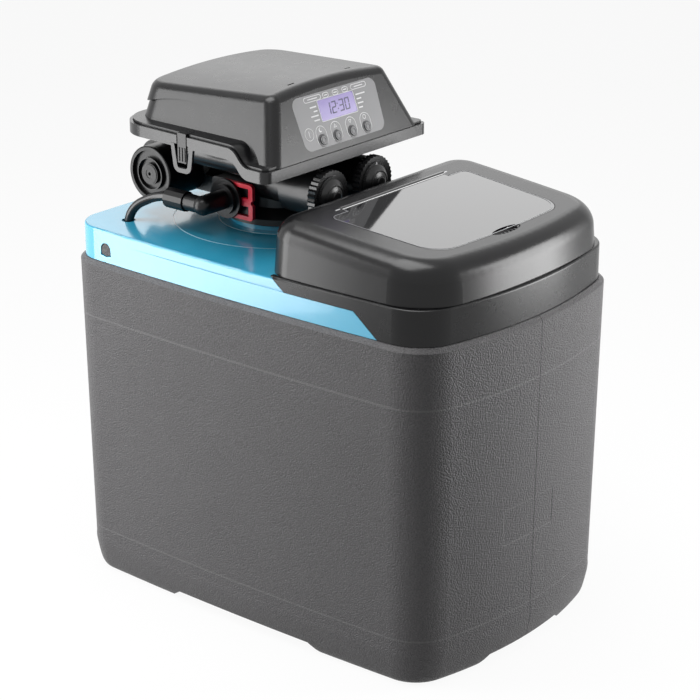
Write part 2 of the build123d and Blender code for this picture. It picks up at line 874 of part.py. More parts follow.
def make_bottom_strainer():
    """Slotted basket that the riser stands in."""
    low = tank_bottom + tank_wall + seat_gap
    basket = rod_z(strainer_radius, low, low + strainer_height, 0, tank_axis_y)
    basket -= rod_z(strainer_radius - strainer_wall, low + strainer_wall, low + strainer_height - strainer_wall, 0,
                    tank_axis_y)
    basket -= rod_z(riser_radius + seat_gap, low + riser_bottom_gap - seat_gap, low + strainer_height + overrun, 0,
                    tank_axis_y)
    slot = Pos(strainer_radius, 0, low + strainer_height / 2) * Box(2 * strainer_wall + strainer_slot_width,
                                                                      strainer_slot_width, strainer_height / 2)
    for index in range(strainer_slot_count):
        basket -= Pos(0, tank_axis_y, 0) * Rot(0, 0, 360 * index / strainer_slot_count) * slot
    return basket


def make_top_strainer():
    """Cone under the valve that keeps the resin in the tank."""
    low = top_strainer_top - top_strainer_height
    bore = riser_radius + seat_gap
    shape = turned([(bore, low), (bore + strainer_wall, low), (top_strainer_radius, top_strainer_top - strainer_wall),
                    (top_strainer_radius, top_strainer_top), (bore, top_strainer_top)], 0, tank_axis_y)
    slot = Pos(top_strainer_radius, 0, top_strainer_top - top_strainer_height / 2)
    slot = slot * Box(strainer_wall * 3, strainer_slot_width, top_strainer_height / 3)
    for index in range(strainer_slot_count):
        shape -= Pos(0, tank_axis_y, 0) * Rot(0, 0, 360 * index / strainer_slot_count) * slot
    return shape


def make_resin():
    """Bed of resin beads, as one solid round the riser and the strainer."""
    inner = revolve(tank_half_profile(tank_wall + resin_gap), Axis.Z)
    low = tank_bottom + tank_wall
    bed = Pos(0, tank_axis_y, 0) * inner
    bed &= rod_z(tank_radius, low, resin_top, 0, tank_axis_y)
    bed -= rod_z(strainer_radius + resin_gap, low - overrun, low + strainer_height + 2 * resin_gap, 0, tank_axis_y)
    return bed - rod_z(riser_radius + resin_gap, low, resin_top + overrun, 0, tank_axis_y)


# Brine well ------------------------------------------------------------------
def make_brine_well():
    """Tall tube beside the tank, with slots at its foot."""
    tube = rod_z(well_radius, tank_bottom, well_top, well_x, well_y)
    tube -= rod_z(well_radius - well_wall, tank_bottom - overrun, well_top + overrun, well_x, well_y)
    slot = Pos(well_radius, 0, tank_bottom + well_slot_height) * Box(well_radius, well_slot_width, well_slot_height)
    for index in range(well_slot_count):
        tube -= Pos(well_x, well_y, 0) * Rot(0, 0, 360 * index / well_slot_count) * slot
    return tube


def make_well_cap():
    """Cap of the brine well, with a hole for the brine tube."""
    at = (well_x, well_y)
    outer = well_radius + well_cap_rim
    cap = rod_z(outer, well_top - well_cap_skirt, well_top + well_cap_height, *at)
    cap -= rod_z(well_radius + seat_gap, well_top - well_cap_skirt - overrun, well_top + seat_gap, *at)
    wall = cabinet_depth / 2 - cavity_top_inset - seat_gap
    cap &= block(-cabinet_width, cabinet_width, -cabinet_depth, wall, 0, deck_top)
    return cap - rod_z(tube_radius + seat_gap, well_top - overrun, well_top + overrun, tube_hole_x, tube_hole_y)


def make_safety_valve():
    """Float valve body below the cap, with the pick-up tube down to the air check."""
    at = (well_x, well_y)
    top = safety_valve_low_z + safety_valve_height
    body = rod_z(safety_valve_radius, safety_valve_low_z, top, *at)
    body += rod_z(pickup_tube_radius, air_check_low_z + air_check_height, safety_valve_low_z, *at)
    arm = block(well_x, well_x + float_rod_offset + float_stop_radius, well_y - float_stop_radius,
                well_y + float_stop_radius, safety_valve_low_z, safety_valve_low_z + float_stop_height)
    body += arm
    return body - rod_z(float_rod_radius + float_bore_gap, safety_valve_low_z - overrun, top + overrun,
                        well_x + float_rod_offset, well_y)


def make_air_check():
    """Air check cage at the foot of the pick-up tube."""
    at = (well_x, well_y)
    cage = rod_z(air_check_radius, air_check_low_z, air_check_low_z + air_check_height, *at)
    cage -= rod_z(air_check_radius - strainer_wall, air_check_low_z + strainer_wall, air_check_low_z +
                  air_check_height - strainer_wall, *at)
    slot = Pos(air_check_radius, 0, air_check_low_z + air_check_height / 2)
    slot = slot * Box(strainer_wall * 3, strainer_slot_width, air_check_height / 2)
    for index in range(strainer_slot_count // 2):
        cage -= Pos(*at, 0) * Rot(0, 0, 720 * index / strainer_slot_count) * slot
    return cage


def make_float():
    """Float with its rod, which slides up to close the safety valve."""
    x = well_x + float_rod_offset
    low = float_low_z
    rod = rod_z(float_rod_radius, low, float_rod_top_z, x, well_y)
    body = rod_z(float_radius, low, low + float_height, x, well_y)
    body -= rod_z(pickup_tube_radius + 2 * float_stop_height, low - overrun, low + float_height + overrun,
                  well_x - float_stop_height, well_y)
    return body + rod


# Salt grid ---------------------------------------------------------------------
def make_salt_grid():
    """Slotted platform that keeps the salt above the brine, on four legs."""
    plate = slab(grid_inset, grid_z, grid_z + grid_thickness)
    plate -= rod_z(tank_radius + grid_gap, 0, grid_z + overrun, 0, tank_axis_y)
    plate -= rod_z(well_radius + grid_gap, 0, grid_z + overrun, well_x, well_y)
    for index in range(grid_slot_count):
        y = grid_slot_front_y + index * grid_slot_pitch * 0.75
        for side in (-1, 1):
            x = side * (grid_slot_length / 2 + grid_slot_width)
            plate -= block(x - grid_slot_length / 2, x + grid_slot_length / 2, y - grid_slot_width / 2,
                           y + grid_slot_width / 2, grid_z - overrun, grid_z + overrun)
    for x in (-grid_leg_x, grid_leg_x):
        for y in (grid_leg_front_y, grid_leg_back_y):
            plate += rod_z(grid_leg_radius, cavity_low_z + seat_gap, grid_z, x, y)
    return plate


# Overflow ------------------------------------------------------------------------
def make_overflow():
    """Hose fitting through the pocket wall, pointing out of the back."""
    wall_y = cabinet_depth / 2 - pocket_depth
    fitting = rod_y(overflow_flange_radius, wall_y + seat_gap, wall_y + seat_gap + overflow_flange_width, overflow_x,
                    overflow_z)
    fitting += rod_y(overflow_thread_radius, wall_y - pocket_wall - overflow_nut_width * 2, wall_y + seat_gap,
                     overflow_x, overflow_z)
    fitting += rod_y(overflow_barb_radius, wall_y, wall_y + overflow_flange_width + overflow_barb_length, overflow_x,
                     overflow_z)
    return fitting - rod_y(overflow_bore_radius, wall_y - overrun, wall_y + overrun, overflow_x, overflow_z)


def make_overflow_nut():
    """Nut on the inside of the pocket wall."""
    face_y = cabinet_depth / 2 - pocket_depth - pocket_wall - seat_gap
    place = Plane(origin=(overflow_x, face_y, overflow_z), z_dir=(0, -1, 0))
    nut = extrude(place * RegularPolygon(overflow_nut_radius, overflow_nut_sides), overflow_nut_width)
    return nut - rod_y(overflow_thread_radius + hinge_pin_gap, face_y - overrun, face_y + overrun, overflow_x,
                       overflow_z)


# Valve body ----------------------------------------------------------------------
def make_valve_body():
    """Moulded valve body with all its barrels and ports."""
    y0 = tank_axis_y
    z = valve_plane_z
    body = turned([(0, flange_bottom), (flange_radius, flange_bottom), (flange_radius, flange_bottom + flange_height),
                   (core_radius, cone_top_z), (core_radius, core_top), (0, core_top)], 0, y0)
    body += rod_z(tank_mouth_radius - neck_plug_gap, neck_plug_low_z, flange_bottom, 0, y0)
    body += rod_x(barrel_radius, barrel_left_x, barrel_right_x, barrel_y, z)
    body += block(-bridge_half_width, bridge_half_width, y0, barrel_y, bridge_low_z, core_top)
    for x in (-front_barrel_x, front_barrel_x):
        body += rod_y(front_barrel_radius, front_barrel_y, front_barrel_end_y, x, z)
        body += rod_y(front_neck_radius, front_barrel_end_y, y0, x, z)
        body += rod_y(port_collar_radius, barrel_y, port_end_y - port_thread_length, x, z)
        body += rod_y(port_radius, barrel_y, port_end_y, x, z)
    side = block(0, side_block_face_x, side_port_y - side_block_half_width, side_port_y + side_block_half_width,
                 side_port_z - side_block_half_height, side_port_z + side_block_half_height)
    side = fillet(side.edges().filter_by(Axis.X), side_block_radius)
    body += mirrored(side)
    body -= rod_x(barrel_bore_radius, barrel_left_x - overrun, barrel_right_x + overrun, barrel_y, z)
    for x in (-front_barrel_x, front_barrel_x):
        body -= rod_y(front_bore_radius, front_barrel_y - overrun, front_bore_end_y, x, z)
        body -= rod_y(port_bore_radius, front_bore_end_y, port_end_y + overrun, x, z)
    spigot = rod_x(spigot_radius + spigot_gap, spigot_end_x, side_block_face_x + overrun, side_port_y, side_port_z)
    body -= mirrored(spigot)
    body -= rod_z(core_bore_radius, neck_plug_low_z - overrun, riser_top + seat_gap, 0, y0)
    return body


def make_neck_seal():
    """Rubber ring between the tank neck and the valve flange."""
    ring_r = (tank_mouth_radius + tank_neck_radius) / 2
    low = tank_neck_top + hinge_pin_gap
    ring = rod_z(ring_r + neck_seal_radius, low, flange_bottom - hinge_pin_gap, 0, tank_axis_y)
    return ring - rod_z(ring_r - neck_seal_radius, low - overrun, flange_bottom + overrun, 0, tank_axis_y)


def make_end_cap():
    """Dished cap that closes the left end of the piston barrel."""
    axis = (barrel_y, valve_plane_z)
    cap = rod_x(barrel_radius, end_cap_x, barrel_left_x - hinge_pin_gap, *axis)
    cap = fillet(cap.faces().sort_by(Axis.X)[0].edges(), cap_socket_radius)
    dish = rod_x(barrel_radius - end_cap_rim, end_cap_x - overrun, end_cap_x + end_cap_dish_depth, *axis)
    hub = rod_x(end_cap_hub_radius, end_cap_x - overrun, end_cap_x + overrun, *axis)
    ring = rod_x(end_cap_ring_radius, end_cap_x, end_cap_x + overrun, *axis)
    ring -= rod_x(end_cap_ring_radius - end_cap_ring_width, end_cap_x - overrun, end_cap_x + 2 * overrun, *axis)
    cap -= dish - hub - ring
    cap += rod_x(end_cap_hub_radius - end_cap_ring_width, end_cap_x - end_cap_hub_proud + end_cap_dish_depth / 2,
                 end_cap_x + end_cap_dish_depth, *axis)
    cap += rod_x(barrel_bore_radius - stack_gap, barrel_left_x - seat_gap, barrel_left_x + end_cap_plug_length, *axis)
    head = rod_x(cap_screw_head_radius + hinge_pin_gap, end_cap_x - overrun, end_cap_x + cap_screw_head_height, *axis)
    return cap - head - rod_x(cap_screw_radius, end_cap_x - overrun, end_cap_x + cap_screw_length, *axis)


def make_cap_screw():
    """Screw in the middle of the end cap, with a socket head."""
    axis = (barrel_y, valve_plane_z)
    seat = end_cap_x + cap_screw_head_height
    screw = rod_x(cap_screw_head_radius, end_cap_x - hinge_pin_gap, seat, *axis)
    screw += rod_x(cap_screw_radius - hinge_pin_gap, seat, end_cap_x + cap_screw_length - hinge_pin_gap, *axis)
    place = Plane(origin=(end_cap_x - overrun, *axis), z_dir=(1, 0, 0))
    socket = extrude(place * RegularPolygon(cap_socket_radius, 6), overrun + cap_socket_radius)
    return screw - socket


def make_seal_stack():
    """Stack of spacers and seals that the piston slides in, as one sleeve with windows."""
    axis = (barrel_y, valve_plane_z)
    sleeve = rod_x(barrel_bore_radius - stack_gap, stack_left_x, stack_right_x, *axis)
    sleeve -= rod_x(stack_inner_radius, stack_left_x - overrun, stack_right_x + overrun, *axis)
    pitch = (stack_right_x - stack_left_x) / stack_window_count
    for index in range(stack_window_count):
        x = stack_left_x + pitch * (index + 0.5)
        half = stack_window_width / 2
        sleeve -= block(x - half, x + half, barrel_y - barrel_radius, barrel_y + barrel_radius, valve_plane_z -
                        stack_window_height / 2, valve_plane_z + stack_window_height / 2)
    return sleeve


def make_piston():
    """Spool piston, hollow for the threaded spindle."""
    axis = (barrel_y, valve_plane_z)
    piston = rod_x(piston_radius, piston_left_x, piston_right_x, *axis)
    for index in range(piston_waist_count):
        x = piston_left_x + piston_land_width + index * (piston_waist_width + piston_land_width)
        ring = rod_x(piston_radius + overrun, x, x + piston_waist_width, *axis)
        piston -= ring - rod_x(piston_waist_radius, x - overrun, x + piston_waist_width + overrun, *axis)
    return piston - rod_x(spindle_radius + spindle_gap, piston_bore_left_x, piston_right_x + overrun, *axis)


# Gears -----------------------------------------------------------------------------
def gear_outline(teeth, spin):
    """Spur gear outline with flanks of two straight stretches that follow the involute."""
    pitch_r = gear_module * teeth / 2
    base_r = pitch_r * math.cos(math.radians(gear_pressure_deg))
    tip_r = pitch_r + gear_module * gear_addendum_share
    root_r = pitch_r - gear_module * gear_dedendum_share

    def involute(radius):
        if radius <= base_r:
            return 0.0
        turn = math.acos(base_r / radius)
        return math.tan(turn) - turn

    half_pitch_angle = math.pi / (2 * teeth) - gear_backlash / (4 * pitch_r)
    points = []
    low_r = max(root_r, base_r)
    for index in range(teeth):
        middle = 2 * math.pi * index / teeth + spin
        flank = []
        for radius in (root_r, low_r, pitch_r, tip_r):
            half = half_pitch_angle + involute(pitch_r) - involute(radius)
            if not flank or radius > flank[-1][0]:
                flank.append((radius, half))
        points += [(r, middle - h) for r, h in flank]
        points += [(r, middle + h) for r, h in reversed(flank)]
    return [(r * math.cos(a), r * math.sin(a)) for r, a in points]


def gear_disc(teeth, x0, width, y, z, spin=0.0):
    """Spur gear on an axis along X."""
    place = Plane(origin=(x0, y, z), x_dir=(0, 1, 0), z_dir=(1, 0, 0))
    return extrude(place * make_face(Polyline(*gear_outline(teeth, spin), close=True)), width)


main_pitch_radius = gear_module * main_gear_teeth / 2
small_pitch_radius = gear_module * compound_small_teeth / 2
large_pitch_radius = gear_module * compound_large_teeth / 2
pinion_pitch_radius = gear_module * pinion_teeth / 2
up = math.pi / 2
gear_lean = math.radians(gear_lean_deg)
compound_y = barrel_y - (main_pitch_radius + small_pitch_radius) * math.sin(gear_lean)
compound_z = valve_plane_z + (main_pitch_radius + small_pitch_radius) * math.cos(gear_lean)
pinion_z = compound_z + large_pitch_radius + pinion_pitch_radius


def make_main_gear():
    """Main drive gear with windows, and the threaded spindle that moves the piston."""
    axis = (barrel_y, valve_plane_z)
    gear = gear_disc(main_gear_teeth, gear_left_x, gear_width, *axis, spin=up + gear_lean)
    rim = main_pitch_radius - gear_rim_width
    dish = rod_x(rim, gear_left_x + gear_width * gear_web_share, gear_left_x + gear_width + overrun, *axis)
    gear -= dish - rod_x(gear_hub_radius, gear_left_x, gear_left_x + gear_width + 2 * overrun, *axis)
    window_r = (rim - gear_hub_radius) / 2 - gear_hub_gap * 4
    orbit = (rim + gear_hub_radius) / 2
    for index in range(gear_window_count):
        turn = 2 * math.pi * index / gear_window_count
        gear -= rod_x(window_r, gear_left_x - overrun, gear_left_x + overrun, barrel_y + orbit * math.cos(turn),
                      valve_plane_z + orbit * math.sin(turn))
    gear += rod_x(gear_hub_radius, barrel_right_x + drive_cap_flange_width + gear_hub_gap, gear_left_x, *axis)
    return gear + rod_x(spindle_radius, spindle_left_x, gear_left_x, *axis)


def make_compound_gear():
    """Reduction gear: a small and a large gear on one hub."""
    axis = (compound_y, compound_z)
    small_spin = gear_lean - up + math.pi / compound_small_teeth
    gear = gear_disc(compound_small_teeth, gear_left_x, large_gear_left_x - gear_left_x, *axis, spin=small_spin)
    gear += gear_disc(compound_large_teeth, large_gear_left_x, large_gear_width, *axis, spin=up)
    return gear - rod_x(gear_pin_radius + gear_pin_gap, gear_left_x - overrun, gear_left_x + 2 * overrun, *axis)


def make_pinion():
    """Motor pinion on its shaft."""
    spin = -up + math.pi / pinion_teeth
    x0 = large_gear_left_x - (pinion_width - large_gear_width) / 2
    pinion = gear_disc(pinion_teeth, x0, pinion_width, compound_y, pinion_z, spin=spin)
    return pinion + rod_x(motor_shaft_radius, bracket_x - motor_length / 2, x0, compound_y, pinion_z)


def make_drive_cap():
    """Cap with the spindle bearing at the right end of the barrel."""
    axis = (barrel_y, valve_plane_z)
    x0 = barrel_right_x
    cap = rod_x(drive_cap_flange_radius, x0 + hinge_pin_gap, x0 + drive_cap_flange_width, *axis)
    cap += rod_x(barrel_bore_radius - stack_gap, x0 - drive_cap_plug_length, x0 + drive_cap_flange_width / 2, *axis)
    return cap - rod_x(spindle_radius + spindle_gap, x0 - overrun, x0 + overrun, *axis)


def make_bracket():
    """Steel bracket for the motor and the pin of the reduction gear."""
    x0 = bracket_x
    x1 = bracket_x + bracket_thickness
    plate = block(x0, x1, bracket_front_y, bracket_back_y, bracket_step_z, bracket_top_z)
    plate = fillet(plate.edges().filter_by(Axis.X).sort_by(Axis.Z)[-2:], bracket_corner_radius)
    plate += block(x0, x1, compound_y - bracket_low_half_width, compound_y + bracket_low_half_width, bracket_low_z,
                   bracket_step_z)
    plate += block(x0 - bracket_foot_length, x0, bracket_front_y, bracket_front_y + bracket_foot_width, bracket_step_z,
                   bracket_step_z + bracket_thickness)
    for share in bracket_screw_shares:
        plate -= rod_z(screw_radius + touch_gap, bracket_step_z - overrun, bracket_step_z + overrun, x0 -
                       bracket_foot_length * share, bracket_front_y + bracket_foot_width / 2)
    plate += rod_x(gear_pin_radius, x0, gear_pin_end_x, compound_y, compound_z)
    plate -= rod_x(motor_boss_radius + touch_gap, x0 - overrun, x0 + overrun, compound_y, pinion_z)
    return plate - rod_x(drive_cap_flange_radius + gear_hub_gap, x0 - overrun, x0 + overrun, barrel_y, valve_plane_z)


def make_motor():
    """Small geared motor behind the bracket, flattened on two sides."""
    x1 = bracket_x - touch_gap
    motor = rod_x(motor_radius, x1 - motor_length, x1, compound_y, pinion_z)
    flat = motor_radius * motor_flat_share
    motor &= block(x1 - motor_length, x1, compound_y - motor_radius, compound_y + motor_radius, pinion_z - flat,
                   pinion_z + flat)
    motor += rod_x(motor_boss_radius, x1 - motor_length / 2, x1 + motor_boss_length, compound_y, pinion_z)
    return motor - rod_x(motor_shaft_radius + motor_shaft_gap, x1 - motor_length / 2 - motor_shaft_gap, x1 + overrun,
                         compound_y, pinion_z)


def drive_cover_form(inset):
    """Space of the drive cover: round below and a straight throat above."""
    x0 = barrel_right_x - drive_cover_wall if inset == 0.0 else barrel_right_x - overrun
    x1 = drive_cover_end_x - inset
    form = rod_x(drive_cover_radius - inset, x0, x1, barrel_y, valve_plane_z)
    half = drive_cover_throat_half_width - inset
    top = drive_cover_top_z if inset == 0.0 else drive_cover_top_z + overrun
    return form + block(x0, x1, compound_y - half, compound_y + half, valve_plane_z, top)


def make_drive_cover():
    """Cover over the drive gears below the head."""
    outer = drive_cover_form(0.0)
    outer = fillet(outer.faces().sort_by(Axis.X)[-1].edges(), drive_cover_wall)
    shell = outer - drive_cover_form(drive_cover_wall)
    return shell - rod_x(barrel_radius + seat_gap, barrel_right_x - overrun, barrel_right_x + drive_cap_flange_width,
                         barrel_y, valve_plane_z)


# Side ports ------------------------------------------------------------------------
def make_clip():
    """Flat clip with two long legs and a short tab, on the left port."""
    x1 = -side_block_face_x - seat_gap
    x0 = x1 - clip_thickness
    z0 = side_port_z - clip_half_height
    z1 = side_port_z + clip_half_height
    back = clip_spine_y + clip_spine_width
    clip = block(x0, x1, clip_spine_y, clip_leg_end_y, z0, z1)
    clip = fillet(clip.edges().filter_by(Axis.X).sort_by(Axis.Y)[:2], clip_corner_radius)
    tab = clip_tab_height / 2
    leg = clip_leg_height
    clip -= block(x0 - overrun, x1 + overrun, back, clip_leg_end_y + overrun, z0 + leg, side_port_z - tab)
    clip -= block(x0 - overrun, x1 + overrun, back, clip_leg_end_y + overrun, side_port_z + tab, z1 - leg)
    clip -= block(x0 - overrun, x1 + overrun, clip_tab_end_y, clip_leg_end_y + overrun, z0 + leg, z1 - leg)
    clip -= rod_x(clip_waist_radius, x0 - overrun, x1 + overrun, clip_spine_y, side_port_z)
    return clip


def elbow_base(bend_x):
    """Spigot, flange and bend that the brine and drain elbows share, on the left."""
    axis = (side_port_y, side_port_z)
    face = -side_block_face_x - clip_thickness - 2 * seat_gap
    body = rod_x(spigot_radius, face, -spigot_end_x - seat_gap, *axis)
    body += rod_x(elbow_flange_radius, face - elbow_flange_width, face, *axis)
    body += rod_x(elbow_step_radius, face - elbow_flange_width - elbow_step_width, face, *axis)
    body += rod_x(elbow_radius, -bend_x, face, *axis)
    body += Pos(-bend_x, *axis) * Sphere(elbow_radius)
    body += rod_y(elbow_sleeve_radius, side_port_y, elbow_sleeve_end_y, -bend_x, side_port_z)
    body -= rod_x(elbow_bore_radius, -bend_x, overrun - spigot_end_x, *axis)
    return body


def make_brine_elbow():
    """Elbow of the brine line with the seat for the tube."""
    body = elbow_base(elbow_x)
    body -= rod_y(elbow_bore_radius, side_port_y, elbow_sleeve_end_y + overrun, -elbow_x, side_port_z)
    return body


def make_elbow_nut():
    """Compression nut that holds the brine tube."""
    place = Plane(origin=(-elbow_x, elbow_sleeve_end_y + seat_gap, side_port_z), z_dir=(0, 1, 0))
    nut = extrude(place * RegularPolygon(nut_radius, nut_flat_count), nut_end_y - elbow_sleeve_end_y)
    return nut - rod_y(tube_radius + nut_bore_gap, elbow_sleeve_end_y - overrun, nut_end_y + overrun, -elbow_x,
                       side_port_z)


def make_drain_elbow():
    """Elbow of the drain line with a hose barb, on the right."""
    body = elbow_base(drain_elbow_x)
    y = elbow_sleeve_end_y
    for index in range(barb_count):
        place = Plane(origin=(-drain_elbow_x, y, side_port_z), z_dir=(0, 1, 0))
        body += place * Cone(barb_radius, barb_root_radius, barb_pitch, align=(Align.CENTER, Align.CENTER, Align.MIN))
        y += barb_pitch
    body += rod_y(barb_root_radius, side_port_y, y + barb_nose_length, -drain_elbow_x, side_port_z)
    body -= rod_y(barb_bore_radius, side_port_y, y + overrun, -drain_elbow_x, side_port_z)
    return mirror(body, Plane.YZ)


def make_brine_tube():
    """Brine tube from the nut over the deck and down into the well."""
    points = [(-elbow_x, tube_start_y, side_port_z), (-elbow_x, tube_first_bend_y, side_port_z),
              (tube_hole_x, tube_hole_y, tube_second_bend_z), (tube_hole_x, tube_hole_y, tube_low_z)]
    path = FilletPolyline(*points, radius=tube_bend_radii)
    start = Plane(origin=path @ 0, z_dir=path % 0)
    return sweep(start * Circle(tube_radius), path) - sweep(start * Circle(tube_bore_radius), path)


# Bypass knobs and turbine ----------------------------------------------------------
def make_knob(x):
    """Knob with a notched rim and a domed middle."""
    z = valve_plane_z
    points = []
    for index in range(2 * knob_notch_count):
        turn = math.pi * index / knob_notch_count
        radius = knob_ring_radius - knob_ring_depth * (index % 2)
        points.append((radius * math.cos(turn), radius * math.sin(turn)))
    place = Plane(origin=(x, knob_ring_back_y, z), x_dir=(1, 0, 0), z_dir=(0, -1, 0))
    knob = extrude(place * make_face(Polyline(*points, close=True)), knob_ring_back_y - knob_ring_front_y)
    knob += rod_y(knob_step_radius, knob_ring_front_y - knob_step_height, knob_ring_back_y, x, z)
    rise = knob_dome_height
    ball = (knob_dome_radius ** 2 + rise ** 2) / (2 * rise)
    dome = Pos(x, knob_ring_front_y - knob_step_height - rise + ball, z) * Sphere(ball)
    front = knob_ring_front_y - knob_step_height
    return knob + (dome & block(x - ball, x + ball, front - ball, front, z - ball, z + ball))


def make_rotor(x):
    """Valve plug behind a knob, with a cross hole and seal grooves."""
    z = valve_plane_z
    plug = rod_y(front_bore_radius - rotor_gap, knob_ring_back_y, rotor_end_y, x, z)
    plug -= rod_z(rotor_hole_radius, z - overrun, z + overrun, x, rotor_hole_y)
    plug -= rod_y(rotor_hole_radius - rotor_groove_depth, rotor_hole_y, rotor_end_y + overrun, x, z)
    for y in (rotor_groove_width * 2, rotor_groove_width * 4):
        ring = rod_y(front_bore_radius + overrun, y, y + rotor_groove_width, x, z)
        plug -= ring - rod_y(front_bore_radius - rotor_groove_depth, y - overrun, y + overrun, x, z)
    return plug


def make_turbine():
    """Flow turbine with straight vanes on a hub."""
    x = front_barrel_x
    z = valve_plane_z
    wheel = rod_y(turbine_hub_radius, turbine_y, turbine_y + turbine_width, x, z)
    vane = Box(turbine_radius - turbine_hub_radius / 2, turbine_width, turbine_vane_thickness)
    for index in range(turbine_vane_count):
        turn = Rot(0, 360 * index / turbine_vane_count, 0)
        wheel += Pos(x, turbine_y + turbine_width / 2, z) * turn * Pos((turbine_radius + turbine_hub_radius / 2) / 2, 0,
                                                                       0) * vane
    return wheel - rod_y(cage_pin_radius + turbine_bore_gap, turbine_y - overrun, turbine_y + overrun, x, z)


def make_turbine_cage():
    """Spoked ring with the pin that the turbine turns on."""
    x = front_barrel_x
    z = valve_plane_z
    ring = rod_y(port_bore_radius - cage_gap, cage_back_y, cage_back_y + cage_width, x, z)
    ring -= rod_y(port_bore_radius - cage_wall, cage_back_y - overrun, cage_back_y + overrun, x, z)
    spoke = Box(2 * port_bore_radius - cage_wall, cage_width, cage_spoke_thickness)
    for turn in (0, 90):
        ring += Pos(x, cage_back_y + cage_width / 2, z) * Rot(0, turn, 0) * spoke
    return ring + rod_y(cage_pin_radius, turbine_y - turbine_width / 2, cage_back_y + cage_width / 2, x, z)


# Head base -----------------------------------------------------------------------
def base_outline(inset):
    """Outline of the head base from above."""
    front = base_front_y + inset
    back = base_back_y - inset
    wide = base_front_half_width - inset
    narrow = base_back_half_width - inset
    face = make_face(Polyline((-wide, front), (wide, front), (narrow, back), (-narrow, back), close=True))
    middle = (front + back) / 2
    face = fillet(face.vertices().filter_by(lambda v: v.Y < middle), max(base_front_radius - inset, rim_wall))
    corners = [v for v in face.vertices() if abs(v.Y - back) < seat_gap]
    return fillet(corners, base_back_radius - inset)


def rim_band(low, high):
    """Layer that follows the stepped edge of the rim, between two heights from its top."""
    front = base_front_y - rim_reach
    back = base_back_y + rim_reach

    def edge(shift):
        return [Line((front, rim_front_z + shift), (rim_step_front_y, rim_front_z + shift)),
                Spline((rim_step_front_y, rim_front_z + shift), (rim_step_back_y, rim_back_z + shift),
                       tangents=((1, 0), (1, 0))),
                Line((rim_step_back_y, rim_back_z + shift), (back, rim_back_z + shift))]

    ends = [Line((front, rim_front_z + low), (front, rim_front_z + high)),
            Line((back, rim_back_z + low), (back, rim_back_z + high))]
    face = make_face(Plane.YZ * (Curve() + edge(low) + edge(high) + ends))
    return extrude(face, cabinet_width, both=True)


def base_column(inset):
    """Upright column on the outline of the head base."""
    low = tub_bottom - overrun
    return extrude(Pos(0, 0, low) * base_outline(inset), cover_top_front_z - low + overrun)


def tub_form(inset):
    """Rounded tub under the tray."""
    tub = block(-tub_half_width + inset, tub_half_width - inset, tub_front_y + inset, tub_back_y - inset, tub_bottom +
                inset, rim_back_z - rim_height + tray_floor)
    return fillet(tub.edges().filter_by(lambda e: e.center().Z < rim_front_z - rim_height), tub_radius - inset)


def loop_face(grow):
    """Outline of a latch loop from the side, hanging from the rim."""
    top = rim_back_z - rim_height + tray_floor
    half_top = loop_top_half_width - grow
    half_low = loop_low_half_width - grow
    low = loop_bottom_z + grow
    y = loop_center_y
    face = make_face(Plane.YZ * Polyline((y - half_top, top), (y - half_low, low), (y + half_low, low),
                                         (y + half_top, top), close=True))
    return fillet([v for v in face.vertices() if v.Z < low + seat_gap], loop_corner_radius - grow)


def base_side_x(y):
    """Distance of the side of the base from the middle at a given Y."""
    share = (y - base_front_y) / (base_back_y - base_front_y)
    return base_front_half_width + (base_back_half_width - base_front_half_width) * share


loop_x = base_side_x(loop_center_y)


def make_head_base():
    """Tray that carries the board and the cover, with a tub over the valve and two loops."""
    rim = (base_column(0.0) - base_column(rim_wall)) & rim_band(-rim_height, 0.0)
    floor = base_column(rim_wall / 2) & rim_band(-rim_height, tray_floor - rim_height)
    base = rim + floor + tub_form(0.0)
    base -= tub_form(tub_wall)
    base -= block(-tub_half_width + tub_radius, tub_half_width - tub_radius, tub_front_y + tub_radius, tub_back_y -
                  tub_radius, rim_front_z - rim_height, rim_back_z - overrun / 2)
    slot = block(gear_slot_left_x, gear_slot_right_x, compound_y - gear_slot_half_width, compound_y +
                 gear_slot_half_width, rim_back_z - overrun, rim_back_z)
    base -= slot
    base -= block(jack_x - jack_width / 2 - touch_gap, jack_x + jack_width / 2 + touch_gap, base_back_y - jack_length,
                  base_back_y + overrun, rim_back_z - rim_height + tray_floor, rim_back_z - rim_height + tray_floor +
                  jack_height + 2 * touch_gap)
    top_z = rim_back_z - rim_height + tray_floor / 2
    for share in bracket_screw_shares:
        base -= rod_z(screw_radius + touch_gap, rim_front_z, rim_back_z, bracket_x - bracket_foot_length * share,
                      bracket_front_y + bracket_foot_width / 2)
    for x in (-barrel_saddle_x, barrel_saddle_x - barrel_saddle_half_length):
        saddle = block(x - barrel_saddle_half_length, x + barrel_saddle_half_length, barrel_y - barrel_radius / 2,
                       barrel_y + barrel_radius / 2, valve_plane_z, top_z)
        base += saddle - rod_x(barrel_radius + seat_gap, -cabinet_width, cabinet_width, barrel_y, valve_plane_z)
    outer = loop_x
    inner = loop_x - loop_thickness
    loop = extrude(Pos(inner, 0, 0) * loop_face(0.0), loop_thickness)
    hole = extrude(Pos(inner - overrun / 2, 0, 0) * loop_face(loop_band), overrun)
    base += mirrored(loop)
    base -= mirrored(hole)
    half = tongue_half_width + tongue_gap
    mouth = block(inner - rim_wall, outer + overrun, loop_center_y - half, loop_center_y + half, tongue_low_z,
                  rim_back_z + overrun)
    return base - mirrored(mouth)


# Head cover ----------------------------------------------------------------------
def face_y(z):
    """Y of the leaning display face at height z."""
    return cover_face_y + (z - cover_face_z) / math.tan(face_lean)


